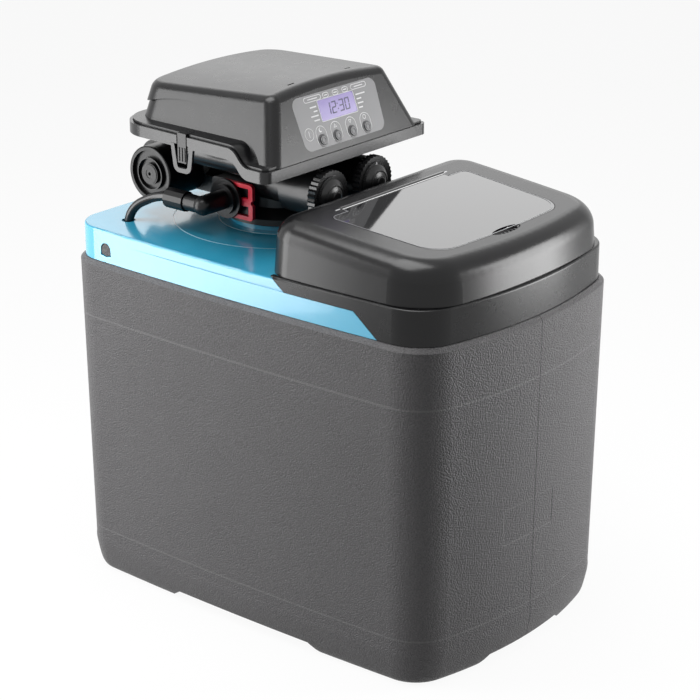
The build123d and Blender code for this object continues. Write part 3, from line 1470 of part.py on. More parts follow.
def cover_corner(front, z, inset, side):
    """Right-hand corner of the cover at height z, at its front or its back."""
    share = (z - cover_low_z) / (cover_top_back_z - cover_low_z)
    if front:
        share = (z - cover_low_z) / (cover_top_front_z - cover_low_z)
        wide = cover_low_front_half_width + (cover_top_front_half_width - cover_low_front_half_width) * share
        return (wide - inset - side, face_y(z) + inset / math.sin(face_lean), z)
    wide = cover_low_back_half_width + (cover_top_back_half_width - cover_low_back_half_width) * share
    return (wide - inset - side, cover_low_back_y + (cover_top_back_y - cover_low_back_y) * share - inset, z)


def cover_layer(low_or_high, inset, side):
    """Four-sided outline of the cover at its foot or above its top."""
    x0, y0, z0 = cover_corner(True, low_or_high, inset, side)
    x1, y1, z1 = cover_corner(False, low_or_high, inset, side)
    return make_face(Polyline((-x0, y0, z0), (x0, y0, z0), (x1, y1, z1), (-x1, y1, z1), close=True)).face()


def crown_space(drop):
    """Space above the crowned top of the cover, which falls towards the back."""
    front_y = face_y(cover_top_front_z)
    run = cover_top_back_y - front_y
    fall = (cover_top_back_z - cover_top_front_z) / run
    half = cover_top_front_half_width
    reach = cabinet_width / 2
    edge_drop = cover_crown * ((reach / half) ** 2 - 1)
    z = cover_top_front_z - drop - fall * (front_y + overrun)
    arc = ThreePointArc((-reach, -overrun, z - edge_drop), (0, -overrun, z + cover_crown), (reach, -overrun, z -
                                                                                            edge_drop))
    top = z + 3 * overrun
    lines = [Line((-reach, -overrun, z - edge_drop), (-reach, -overrun, top)), Line((-reach, -overrun, top), (
        reach, -overrun, top)), Line((reach, -overrun, top), (reach, -overrun, z - edge_drop))]
    face = make_face(Curve() + [arc] + lines)
    length = cabinet_depth
    return extrude(face, length, dir=(0, 1, fall))


def cover_body(inset, side):
    """Cover as a solid, set in by inset all round and by side more on its flanks."""
    high_z = cover_top_front_z + cover_crown + cover_top_radius
    body = loft([cover_layer(cover_low_z, inset, side), cover_layer(high_z, inset, side)], ruled=True)
    middle = (cover_low_back_y + cover_face_y) / 2
    upright = [e for e in body.edges() if abs(e.tangent_at(0).Z) > upright_share]
    body = fillet([e for e in upright if e.center().Y < middle], cover_front_radius - inset)
    upright = [e for e in body.edges() if abs(e.tangent_at(0).Z) > upright_share and e.center().Y > middle]
    body = fillet(upright, cover_back_radius - inset)
    body -= crown_space(inset)
    top = body.faces().sort_by(Axis.Z)[-1]
    return fillet(top.edges(), cover_top_radius - inset)


def above_crease():
    """Space above and in front of the swept crease, seen from the side."""
    reach = cover_top_front_z + overrun
    first = crease_points[0]
    last = crease_points[-1]
    edges = [Line((crease_back_y, first[1]), first), Spline(*crease_points),
             Line(last, (last[0], cover_low_z - overrun)),
             Line((last[0], cover_low_z - overrun), (-crease_back_y, cover_low_z - overrun)),
             Line((-crease_back_y, cover_low_z - overrun), (-crease_back_y, reach)),
             Line((-crease_back_y, reach), (crease_back_y, reach)),
             Line((crease_back_y, reach), (crease_back_y, first[1]))]
    return extrude(make_face(Plane.YZ * (Curve() + edges)), cabinet_width, both=True)


def face_plane(depth=0.0):
    """Working plane on the display face, depth millimetres below its surface."""
    normal = Vector(0, -math.sin(face_lean), math.cos(face_lean))
    origin = Vector(0, cover_face_y, cover_face_z) - normal * depth
    return Plane(origin=origin, x_dir=(1, 0, 0), z_dir=normal)


def face_disc(radius, s, t, low, high):
    """Cylinder square to the display face, between two heights above its surface."""
    return extrude(face_plane(-low) * Pos(s, t) * Circle(radius), high - low)


def label_face(inset):
    """Outline of the label on the display face."""
    outline = make_face(Polyline((-label_low_half_width + inset, label_low_t + inset),
                                 (label_low_half_width - inset, label_low_t + inset),
                                 (label_top_half_width - inset, label_top_t - inset),
                                 (-label_top_half_width + inset, label_top_t - inset), close=True))
    return fillet(outline.vertices(), label_radius - inset)


def lcd_face(grow):
    """Outline of the display window on the face."""
    height = lcd_top_t - lcd_low_t
    return Pos(0, (lcd_top_t + lcd_low_t) / 2) * RectangleRounded(2 * (lcd_half_width + grow), height + 2 * grow,
                                                                  lcd_radius)


def make_cover():
    """Cover shell with swept shoulders, label recess, display window and button holes."""
    upper = above_crease()
    outer = (cover_body(0.0, 0.0) & upper) + (cover_body(0.0, cover_panel_depth) - upper)
    shell = outer - cover_body(cover_wall, cover_panel_depth)
    flange = base_column(cover_flange_inset) & rim_band(seat_gap, seat_gap + cover_flange_height)
    inner = cover_body(cover_wall, cover_panel_depth)
    shell &= rim_band(seat_gap, rim_reach * 2)
    shell += flange - inner
    shell -= extrude(face_plane(label_thickness) * label_face(-hinge_pin_gap), overrun)
    shell -= extrude(face_plane(overrun) * lcd_face(seat_gap), 2 * overrun)
    for s in button_offsets:
        shell -= face_disc(button_radius + button_gap, s, button_t, -overrun, overrun)
    for x in (-slot_x, slot_x):
        shell -= block(x - slot_length / 2, x + slot_length / 2, slot_y - slot_width / 2, slot_y + slot_width / 2,
                       cover_top_back_z - overrun / 2, cover_top_front_z + overrun)
    outer_x = loop_x
    tongue = block(outer_x - tongue_thickness, outer_x, loop_center_y - tongue_half_width, loop_center_y +
                   tongue_half_width, tongue_low_z + tongue_gap, rim_back_z + seat_gap + tongue_arm_height)
    arm = block(cover_low_back_half_width - cover_wall, outer_x, loop_center_y - tongue_half_width, loop_center_y +
                tongue_half_width, rim_back_z + seat_gap, rim_back_z + seat_gap + tongue_arm_height)
    pitch = 2 * tongue_half_width / tongue_rib_count
    for index in range(tongue_rib_count):
        y = loop_center_y - tongue_half_width + pitch * (index + 0.5)
        tongue += block(outer_x - tongue_thickness, outer_x + tongue_rib_proud, y - tongue_rib_width / 2, y +
                        tongue_rib_width / 2, tongue_low_z + 2 * tongue_gap, rim_back_z - rim_height)
    return shell + mirrored(tongue + arm)


def make_label():
    """Thin label in its recess, with the display window and button holes cut out."""
    label = extrude(face_plane(label_thickness) * label_face(0.0), label_thickness)
    label -= extrude(face_plane(overrun) * lcd_face(seat_gap), 2 * overrun)
    for s in button_offsets:
        label -= face_disc(button_radius + button_gap, s, button_t, -overrun, overrun)
    return label


def make_lcd():
    """Display module behind the window, with a clear lens flush with the label."""
    module = extrude(face_plane(lcd_depth - touch_gap) * lcd_face(0.0), lcd_depth - touch_gap)
    return module + extrude(face_plane(lcd_depth) * lcd_face(cover_wall), lcd_depth - cover_wall - touch_gap)


def make_button(s):
    """Round button with a flange behind the face and a stem to its switch."""
    button = face_disc(button_radius, s, button_t, -cover_wall - seat_gap, button_proud)
    flange_top = -cover_wall - seat_gap
    button += face_disc(button_flange_radius, s, button_t, flange_top - button_flange_thickness, flange_top)
    return button + face_disc(button_stem_radius, s, button_t, -board_depth + board_thickness + switch_height +
                              button_travel + seat_gap, flange_top)


board_depth = lcd_depth + switch_height + board_thickness + button_travel


def make_board():
    """Circuit board behind the display, with switches, a chip and four standoffs."""
    height = board_top_t - board_low_t
    place = face_plane(board_depth) * Pos(0, (board_top_t + board_low_t) / 2)
    board = extrude(place * Rectangle(2 * board_half_width, height), board_thickness)
    low = -board_depth
    for s in button_offsets:
        board += extrude(face_plane(board_depth) * Pos(s, button_t) * Rectangle(switch_size, switch_size),
                         board_thickness + switch_height)
    board += extrude(face_plane(board_depth + chip_height) * Pos(chip_s, chip_t) * Rectangle(chip_size, chip_size),
                     chip_height)
    for s in (-board_standoff_s, board_standoff_s):
        for t in (board_low_t + 2 * board_standoff_radius + label_radius, board_top_t - 2 * board_standoff_radius):
            board += face_disc(board_standoff_radius, s, t, low, -cover_wall - touch_gap)
    return board


def make_jack():
    """Low-voltage socket in the back of the base rim."""
    y1 = base_back_y
    z0 = rim_back_z - rim_height + tray_floor + touch_gap
    jack = block(jack_x - jack_width / 2, jack_x + jack_width / 2, y1 - jack_length, y1 - touch_gap, z0, z0 +
                 jack_height)
    z = z0 + jack_height / 2
    jack -= rod_y(jack_bore_radius, y1 - jack_length + rim_wall, y1 + overrun, jack_x, z)
    return jack + rod_y(jack_pin_radius, y1 - jack_length, y1 - rim_wall, jack_x, z)


def make_screws():
    """Two screws through the foot of the motor bracket into the tray."""
    y = bracket_front_y + bracket_foot_width / 2
    top = bracket_step_z + bracket_thickness
    screws = Part()
    for share in bracket_screw_shares:
        x = bracket_x - bracket_foot_length * share
        screws += rod_z(screw_head_radius, top + touch_gap, top + screw_head_height, x, y)
        screws += rod_z(screw_radius, top - screw_length, top + touch_gap, x, y)
    return screws


nodes = {
    "cabinet": make_cabinet,
    "shroud": make_shroud,
    "salt_collar": make_collar,
    "salt_lid": make_salt_lid,
    "lid_window": make_window,
    "window_hinge_pin": make_hinge_pin,
    "resin_tank": make_tank,
    "riser_tube": make_riser,
    "bottom_strainer": make_bottom_strainer,
    "top_strainer": make_top_strainer,
    "resin_bed": make_resin,
    "brine_well": make_brine_well,
    "well_cap": make_well_cap,
    "safety_valve": make_safety_valve,
    "air_check": make_air_check,
    "brine_float": make_float,
    "salt_grid": make_salt_grid,
    "overflow_fitting": make_overflow,
    "overflow_nut": make_overflow_nut,
    "valve_body": make_valve_body,
    "neck_seal": make_neck_seal,
    "barrel_end_cap": make_end_cap,
    "cap_screw": make_cap_screw,
    "seal_stack": make_seal_stack,
    "piston": make_piston,
    "drive_cap": make_drive_cap,
    "main_drive_gear": make_main_gear,
    "reduction_gear": make_compound_gear,
    "motor_pinion": make_pinion,
    "motor_bracket": make_bracket,
    "drive_motor": make_motor,
    "drive_cover": make_drive_cover,
    "brine_clip": make_clip,
    "drain_clip": lambda: mirror(make_clip(), Plane.YZ),
    "brine_elbow": make_brine_elbow,
    "elbow_nut": make_elbow_nut,
    "drain_elbow": make_drain_elbow,
    "brine_tube": make_brine_tube,
    "left_knob": lambda: make_knob(-front_barrel_x),
    "right_knob": lambda: make_knob(front_barrel_x),
    "left_rotor": lambda: make_rotor(-front_barrel_x),
    "right_rotor": lambda: make_rotor(front_barrel_x),
    "flow_turbine": make_turbine,
    "turbine_cage": make_turbine_cage,
    "head_base": make_head_base,
    "head_cover": make_cover,
    "control_label": make_label,
    "display_module": make_lcd,
    "circuit_board": make_board,
    "button_1": lambda: make_button(button_offsets[0]),
    "button_2": lambda: make_button(button_offsets[1]),
    "button_3": lambda: make_button(button_offsets[2]),
    "button_4": lambda: make_button(button_offsets[3]),
    "power_jack": make_jack,
    "bracket_screws": make_screws,
}

os.makedirs("parts", exist_ok=True)
for name, maker in nodes.items():
    export_step(maker(), os.path.join("parts", name + ".step"))
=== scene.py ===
"""Studio scene of a compact cabinet water softener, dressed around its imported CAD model."""

from __future__ import annotations

import json
import logging
import math
from collections.abc import Sequence
from dataclasses import dataclass
from enum import Enum
from functools import cached_property, partial, reduce
from typing import ClassVar

import bmesh
import bpy
from mathutils import Matrix, Vector

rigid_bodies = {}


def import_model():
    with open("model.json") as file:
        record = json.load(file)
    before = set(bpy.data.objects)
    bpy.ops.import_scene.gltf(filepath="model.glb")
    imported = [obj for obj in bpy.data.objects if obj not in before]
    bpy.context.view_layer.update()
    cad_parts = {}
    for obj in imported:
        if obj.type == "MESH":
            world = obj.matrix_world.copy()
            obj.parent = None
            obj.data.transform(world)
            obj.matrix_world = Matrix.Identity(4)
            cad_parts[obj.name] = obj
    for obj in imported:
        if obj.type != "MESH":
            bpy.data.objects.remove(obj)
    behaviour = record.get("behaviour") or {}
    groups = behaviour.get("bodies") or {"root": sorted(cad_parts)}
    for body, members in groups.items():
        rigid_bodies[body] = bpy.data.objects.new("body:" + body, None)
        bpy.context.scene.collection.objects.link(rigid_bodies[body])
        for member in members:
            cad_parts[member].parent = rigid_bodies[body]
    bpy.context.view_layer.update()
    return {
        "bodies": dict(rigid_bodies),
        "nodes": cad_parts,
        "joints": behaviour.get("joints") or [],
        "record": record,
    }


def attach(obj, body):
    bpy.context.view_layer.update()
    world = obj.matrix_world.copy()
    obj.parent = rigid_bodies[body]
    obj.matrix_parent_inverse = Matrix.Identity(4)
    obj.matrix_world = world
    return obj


log = logging.getLogger("softener")
MM = 0.001
SHARP_DEG = 35.0
FINISH_MERGE = 1e-7
TURN_MERGE = 1e-6
CORNER_STEPS = 7
TURN_STEPS = 40
MIX_INPUTS = (0, 6, 7)
MIX_OUTPUT = 2
Point = tuple[float, float]
Place = tuple[float, float, float]
Color = tuple[float, float, float]
Opaque = tuple[float, float, float, float]
Socket = bpy.types.NodeSocket
Node = bpy.types.Node
Tree = bpy.types.NodeTree
Material = bpy.types.Material
Object = bpy.types.Object
Mesh = bmesh.types.BMesh


class Body(str, Enum):
    """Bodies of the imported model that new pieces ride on."""

    FLAP = "window"
    HEAD = "head"
    LEFT_KNOB = "left_bypass"
    RIGHT_KNOB = "right_bypass"
    BUTTON = "button_{}"


class Sign(Enum):
    """Plain signs printed over the four keys, from left to right."""

    MOON = "moon"
    UP = "up"
    DOWN = "down"
    ROUND = "round"


class Texture(Enum):
    """Surface texture that a finish carries on top of its handling marks."""

    PLAIN = "plain"
    PEBBLE = "pebble"
    CABINET = "cabinet"
    THREAD = "thread"


def opaque(color: Color) -> Opaque:
    """Colour with full alpha."""
    return (*color, 1.0)


# Shader node groups


class NodeBuilder:
    """Small helper that adds and links shader nodes in one tree."""

    def __init__(self, tree: Tree) -> None:
        """Keeps the tree that nodes are added to.

        Args:
            tree: The material's or group's node tree.
        """
        self.tree = tree

    def feed(self, node: Node, inputs: dict[str | int, object]) -> Node:
        """Links or sets inputs of a node.

        Args:
            node: The node.
            inputs: A socket or a value for each input's name or number.

        Returns:
            The same node.
        """
        for name, value in inputs.items():
            if isinstance(value, Socket):
                self.tree.links.new(value, node.inputs[name])
            else:
                node.inputs[name].default_value = value
        return node

    def add(self, kind: str, **values: object) -> Node:
        """Adds a node.

        Args:
            kind: The node's type name.
            **values: Its properties and its inputs, by name.

        Returns:
            The new node.
        """
        node = self.tree.nodes.new(kind)
        for name in [name for name in values if hasattr(node, name)]:
            setattr(node, name, values.pop(name))
        return self.feed(node, values)

    def group(self, tree: Tree, **inputs: object) -> Node:
        """Adds a shared node group with its own values."""
        return self.add("ShaderNodeGroup", node_tree=tree, **inputs)

    def math(self, operation: str, *values: Socket | float, clamp: bool = False) -> Socket:
        """Adds a math node.

        Args:
            operation: Name of the operation.
            *values: Sockets or numbers, one for each input that it uses.
            clamp: True to keep the result between 0 and 1.

        Returns:
            The result socket.
        """
        node = self.add("ShaderNodeMath", operation=operation, use_clamp=clamp)
        return self.feed(node, dict(enumerate(values))).outputs[0]

    def near(self, value: Socket, at: float, reach: float) -> Socket:
        """Mask that is 1 where a value lies within reach of a place."""
        return self.math("COMPARE", value, at, reach)

    def all_of(self, *masks: Socket) -> Socket:
        """Mask that is 1 where every given mask is."""
        return reduce(partial(self.math, "MULTIPLY"), masks)

    def any_of(self, *masks: Socket) -> Socket:
        """Mask that is 1 where at least one given mask is."""
        return reduce(partial(self.math, "MAXIMUM"), masks)

    def mix(self, factor: Socket | float, first: Socket | Opaque,
            second: Socket | Opaque) -> Socket:
        """Mixes two colours, through the sockets that the node keeps for them.

        Args:
            factor: Socket or number between 0 and 1.
            first: Colour or socket at 0.
            second: Colour or socket at 1.

        Returns:
            The colour socket.
        """
        node = self.add("ShaderNodeMix", data_type="RGBA")
        return self.feed(node, dict(zip(MIX_INPUTS, (factor, first, second)))).outputs[MIX_OUTPUT]

    def place(self) -> Socket:
        """Object coordinates, in metres from the middle of the footprint."""
        return self.add("ShaderNodeTexCoord").outputs["Object"]

    def axes(self) -> tuple[Socket, Socket, Socket]:
        """X, Y and Z of the object coordinates."""
        return tuple(self.add("ShaderNodeSeparateXYZ", Vector=self.place()).outputs)


@dataclass(frozen=True)
class Seams:
    """Lines that the mould left on the cabinet, in metres, with painted highlights and painted
    shade.

    Each pair is a place on the line's axis and how far it reaches to both sides of it. The
    insert is a rectangle on the front; insert_across and insert_upright are its whole width
    and height.
    """

    upper_belt: Point = (0.288, 0.0010)
    lower_belt: Point = (0.050, 0.0008)
    parting: Point = (0.0, 0.0007)
    insert_across: Point = (-0.0075, 0.0389)
    insert_upright: Point = (0.1435, 0.0185)
    insert_left: Point = (-0.0462, 0.0007)
    insert_right: Point = (0.0312, 0.0010)
    insert_bottom: Point = (0.125, 0.0008)
    insert_top: Point = (0.162, 0.0005)
    end_y: float = 0.2


@dataclass(frozen=True)
class Deck:
    """The blue-green cover's deck, in metres: its rings round the tank neck and its edge.

    Each ring is a radius and half its width, and takes a painted highlight; fade is how fast the
    deck's painted shade gives way to the skirt's painted light below skirt_z, per metre.
    """

    neck_y: float = 0.085
    inner_ring: Point = (0.0634, 0.0007)
    outer_ring: Point = (0.1094, 0.0007)
    deck_z: float = 0.3808
    skirt_z: float = 0.3815
    fade: float = 900.0


class GroupShop:
    """Builds each shared node group once, when it is first asked for."""

    seams = Seams()
    deck = Deck()

    def start(self, name: str, inputs: dict[str, float], outputs: tuple[str, ...]) -> tuple:
        """Makes an empty group with its sockets.

        Args:
            name: The group's name.
            inputs: Input names with their defaults.
            outputs: Names of its value outputs.

        Returns:
            The tree, its builder, its input node and its output node.
        """
        tree = bpy.data.node_groups.new(name, "ShaderNodeTree")
        for label, value in inputs.items():
            socket = tree.interface.new_socket(
                name=label, in_out="INPUT", socket_type="NodeSocketFloat")
            socket.default_value = value
        for label in outputs:
            tree.interface.new_socket(name=label, in_out="OUTPUT", socket_type="NodeSocketFloat")
        given, result = (tree.nodes.new(kind) for kind in ("NodeGroupInput", "NodeGroupOutput"))
        return tree, NodeBuilder(tree), given, result

    @cached_property
    def pebbles(self) -> Tree:
        """Pebble grain of blow-moulded plastic, with lighter specks that are painted highlights.

        Returns:
            Group with inputs Pebbles and Cloud, and outputs Height, painted highlight specks and
            Shade.
        """
        cell_depth, fine_depth = -0.7, 0.9
        glint_gain, glint_floor = 3.2, 1.1
        tree, build, given, result = self.start(
            "Pebble grain", {"Pebbles": 300.0, "Cloud": 9.0}, ("Height", "Glint", "Shade"))
        grain = {"Vector": build.place(), "Scale": given.outputs["Pebbles"]}
        cells = build.add("ShaderNodeTexVoronoi", feature="SMOOTH_F1", Smoothness=0.7, **grain)
        fine = build.add("ShaderNodeTexNoise", Detail=3.0, Roughness=0.6, **grain).outputs["Fac"]
        cloud = build.add("ShaderNodeTexNoise", Detail=2.0, Roughness=0.5, Vector=grain["Vector"],
                          Scale=given.outputs["Cloud"])
        # Painted highlight: bright specks where the fine noise is high.
        glint_raw = build.math("MULTIPLY", fine, glint_gain)
        height = build.math("ADD", build.math("MULTIPLY", cells.outputs["Distance"], cell_depth),
                            build.math("MULTIPLY", fine, fine_depth))
        build.feed(result, {
            "Height": height, "Glint": build.math("SUBTRACT", glint_raw, glint_floor, clamp=True),
            "Shade": cloud.outputs["Fac"]})
        return tree

    @cached_property
    def handling(self) -> Tree:
        """Fine marks that vary gloss and shade a little.

        Returns:
            Group with inputs Scale and Amount, and outputs Rough, Height and Shade.
        """
        tree, build, given, result = self.start(
            "Handling marks", {"Scale": 60.0, "Amount": 0.06}, ("Rough", "Height", "Shade"))
        where = build.place()
        broad = build.add("ShaderNodeTexNoise", Detail=4.0, Roughness=0.6, Vector=where,
                          Scale=given.outputs["Scale"]).outputs["Fac"]
        fine = build.add("ShaderNodeTexNoise", Scale=900.0, Detail=1.0, Vector=where)
        rough = build.math("MULTIPLY", broad, given.outputs["Amount"])
        build.feed(result, {"Rough": rough, "Height": fine.outputs["Fac"], "Shade": broad})
        return tree

    @cached_property
    def mould_lines(self) -> Tree:
        """Seams that the mould left on the cabinet: two belts, the parting line and an insert,
        with painted highlights and painted shade.

        Returns:
            Group with outputs Groove, then the masks of the painted highlight lines and the
            painted shade lines.
        """
        seams = self.seams
        tree, build, _, result = self.start("Mould lines", {}, ("Groove", "Light", "Dark"))
        x, y, z = build.axes()
        belts = build.any_of(build.near(z, *seams.upper_belt), build.near(z, *seams.lower_belt))
        ends = build.math("GREATER_THAN", build.math("ABSOLUTE", y), seams.end_y)
        front = build.math("LESS_THAN", y, -seams.end_y)
        parting = build.all_of(build.near(x, *seams.parting), ends)
        upright = build.near(z, *seams.insert_upright)
        right = build.all_of(build.near(x, *seams.insert_right), upright, front)
        left = build.all_of(build.near(x, *seams.insert_left), upright, front)
        level = build.any_of(build.near(z, *seams.insert_bottom), build.near(z, *seams.insert_top))
        rim = build.all_of(build.near(x, *seams.insert_across), level, front)
        # Painted shade: parting groove, insert's right step. Painted highlight: belts, other
        # insert edges.
        dark = build.any_of(parting, right)
        light = build.any_of(belts, left, rim)
        groove = build.math("MULTIPLY", build.any_of(dark, light), -1.0)
        build.feed(result, {"Groove": groove, "Light": light, "Dark": dark})
        return tree

    @cached_property
    def deck_rings(self) -> Tree:
        """Painted highlights on the two rings moulded in the deck round the tank neck, and the
        skirt mask.

        Returns:
            Group with outputs for the painted ring highlights and for the skirt below the deck,
            which is painted lighter.
        """
        deck = self.deck
        tree, build, _, result = self.start("Deck rings", {}, ("Ring", "Skirt"))
        x, y, z = build.axes()
        run = build.math("SUBTRACT", y, deck.neck_y)
        squares = (build.math("MULTIPLY", side, side) for side in (x, run))
        radius = build.math("SQRT", build.math("ADD", *squares))
        rings = build.any_of(build.near(radius, *deck.inner_ring),
                             build.near(radius, *deck.outer_ring))
        on_deck = build.math("GREATER_THAN", z, deck.deck_z)
        below = build.math("SUBTRACT", deck.skirt_z, z)
        # Painted highlight on the rings; painted light on the skirt below the deck.
        build.feed(result, {"Ring": build.all_of(rings, on_deck),
                            "Skirt": build.math("MULTIPLY", below, deck.fade, clamp=True)})
        return tree

    @cached_property
    def pipe_thread(self) -> Tree:
        """Threads of the two pipe ports at the back of the valve.

        Returns:
            Group with inputs Pitch and Start, and output Height.
        """
        half_turn = 0.5
        tree, build, given, result = self.start(
            "Pipe thread", {"Pitch": 0.001814, "Start": 0.2165}, ("Height",))
        _, y, _ = build.axes()
        turns = build.math("DIVIDE", y, given.outputs["Pitch"])
        tooth = build.math("PINGPONG", turns, half_turn)
        on_port = build.math("GREATER_THAN", y, given.outputs["Start"])
        build.feed(result, {"Height": build.math("MULTIPLY", tooth, on_port)})
        return tree


@dataclass(frozen=True)
class Plastic:
    """Finish of one material.

    rough is its mean roughness and spread how far that varies. pebbles is the number of
    pebbles per metre and bump the depth of the texture in metres; tint is how far the colour
    drifts, and drift the scale of that where it isn't the marks' own; metal, coat and shine go
    to the shader's own sockets; glow is the strength of its own light.
    """

    name: str
    color: Color
    rough: float = 0.4
    spread: float = 0.06
    texture: Texture = Texture.PLAIN
    pebbles: float = 300.0
    bump: float = 0.00004
    tint: float = 0.06
    drift: float = 0.0
    metal: float = 0.0
    coat: float = 0.0
    shine: float = 0.5
    glow: float = 0.0
    glow_color: Color = (0.50, 0.40, 0.95)
    coat_rough: ClassVar[float] = 0.04
    bump_strength: ClassVar[float] = 0.7
    # How much lighter the painted highlight specks are, per unit of tint.
    speck_tint: ClassVar[float] = 3.0
    # Cover and colour factor of the painted highlight lines, then of the painted shade lines.
    light_line: ClassVar[Point] = (0.7, 2.1)
    dark_line: ClassVar[Point] = (0.8, 0.25)
    thread_marks: ClassVar[float] = 0.05
    thread_depth: ClassVar[float] = 1.6

    def rgba(self, factor: float = 1.0) -> Opaque:
        """Colour with alpha, scaled by a factor."""
        red, green, blue = (min(1.0, part * factor) for part in self.color)
        return (red, green, blue, 1.0)

    def tinted(self, build: NodeBuilder, shop: GroupShop, shade: Socket) -> Socket:
        """Colour that drifts with a shade; shop is there for finishes with more than one colour.

        Args:
            build: Builder of the material's tree.
            shop: The shared node groups; not used here.
            shade: Value between 0 and 1.

        Returns:
            The colour socket.
        """
        return build.mix(shade, self.rgba(1.0 - self.tint), self.rgba(1.0 + self.tint))

    def lined(self, build: NodeBuilder, mask: Socket, line: Point, color: Socket) -> Socket:
        """Colour with lines of painted highlight or painted shade over it; line is how strongly
        they cover, and their own factor.
        """
        return build.mix(build.math("MULTIPLY", mask, line[0]), color, self.rgba(line[1]))

    def surface(self, build: NodeBuilder, shop: GroupShop, marks: Node) -> tuple[Socket, Socket]:
        """Adds the nodes of the texture.

        Args:
            build: Builder of the material's tree.
            shop: The shared node groups.
            marks: The group of handling marks.

        Returns:
            The colour socket and the height socket.
        """
        height, shade = marks.outputs["Height"], marks.outputs["Shade"]
        if self.drift:
            shade = build.group(shop.handling, Scale=self.drift).outputs["Shade"]
        if self.texture in (Texture.PEBBLE, Texture.CABINET):
            grain = build.group(shop.pebbles, Pebbles=self.pebbles)
            height = grain.outputs["Height"]
            color = self.tinted(build, shop, grain.outputs["Shade"])
            # Lighter specks over the grain: painted highlights.
            glint_color = self.rgba(1.0 + self.speck_tint * self.tint)
            color = build.mix(grain.outputs["Glint"], color, glint_color)
        else:
            color = self.tinted(build, shop, shade)
        if self.texture is Texture.CABINET:
            lines = build.group(shop.mould_lines)
            # Lines painted lighter and darker along the mould grooves: painted highlight and
            # painted shade.
            color = self.lined(build, lines.outputs["Light"], self.light_line, color)
            color = self.lined(build, lines.outputs["Dark"], self.dark_line, color)
            height = build.math("ADD", height, lines.outputs["Groove"])
        if self.texture is Texture.THREAD:
            thread = build.group(shop.pipe_thread).outputs["Height"]
            height = build.math("ADD", build.math("MULTIPLY", height, self.thread_marks),
                                build.math("MULTIPLY", thread, self.thread_depth))
        return color, height

    def build(self, shop: GroupShop) -> Material:
        """Makes the material.

        Args:
            shop: The shared node groups.

        Returns:
            The new material.
        """
        material = bpy.data.materials.new(self.name)
        material.use_nodes = True
        build = NodeBuilder(material.node_tree)
        shader = material.node_tree.nodes["Principled BSDF"]
        marks = build.group(shop.handling, Amount=self.spread)
        lowest = self.rough - self.spread / 2
        color, height = self.surface(build, shop, marks)
        bump = build.add("ShaderNodeBump", Strength=self.bump_strength, Distance=self.bump,
                         Height=height)
        inputs = {
            "Base Color": color, "Normal": bump.outputs["Normal"], "Metallic": self.metal,
            "Roughness": build.math("ADD", marks.outputs["Rough"], lowest, clamp=True),
            "Coat Weight": self.coat, "Coat Roughness": self.coat_rough,
            "Specular IOR Level": self.shine}
        if self.glow:
            inputs |= {"Emission Color": opaque(self.glow_color), "Emission Strength": self.glow}
        build.feed(shader, inputs)
        return material


@dataclass(frozen=True)
class CoverPlastic(Plastic):
    """One gloss plastic, painted darker on its deck as shade and lighter on its skirt as light.

    color is the darker tone of the deck's painted shade; the rings round the tank neck get painted
    highlights.
    """

    # Tones of the deck's painted shade and the skirt's painted light, and the rings' painted
    # highlight.
    deck_light: Color = (0.040, 0.300, 0.440)
    skirt_dark: Color = (0.110, 0.480, 0.700)
    skirt_light: Color = (0.140, 0.540, 0.770)
    ring_color: Color = (0.60, 0.82, 0.88)
    ring_cover: float = 0.55

    def tinted(self, build: NodeBuilder, shop: GroupShop, shade: Socket) -> Socket:
        """Colour of the deck in painted shade, the skirt in painted light and the rings in painted
        highlight.

        Args:
            build: Builder of the material's tree.
            shop: The shared node groups.
            shade: Value between 0 and 1.

        Returns:
            The colour socket.
        """
        rings = build.group(shop.deck_rings)
        deck = build.mix(shade, self.rgba(), opaque(self.deck_light))
        skirt = build.mix(shade, opaque(self.skirt_dark), opaque(self.skirt_light))
        # Painted light: the skirt is lighter than the deck of the same plastic.
        color = build.mix(rings.outputs["Skirt"], deck, skirt)
        # Painted highlight on the rings.
        ring_highlight_share = build.math("MULTIPLY", rings.outputs["Ring"], self.ring_cover)
        return build.mix(ring_highlight_share, color, opaque(self.ring_color))


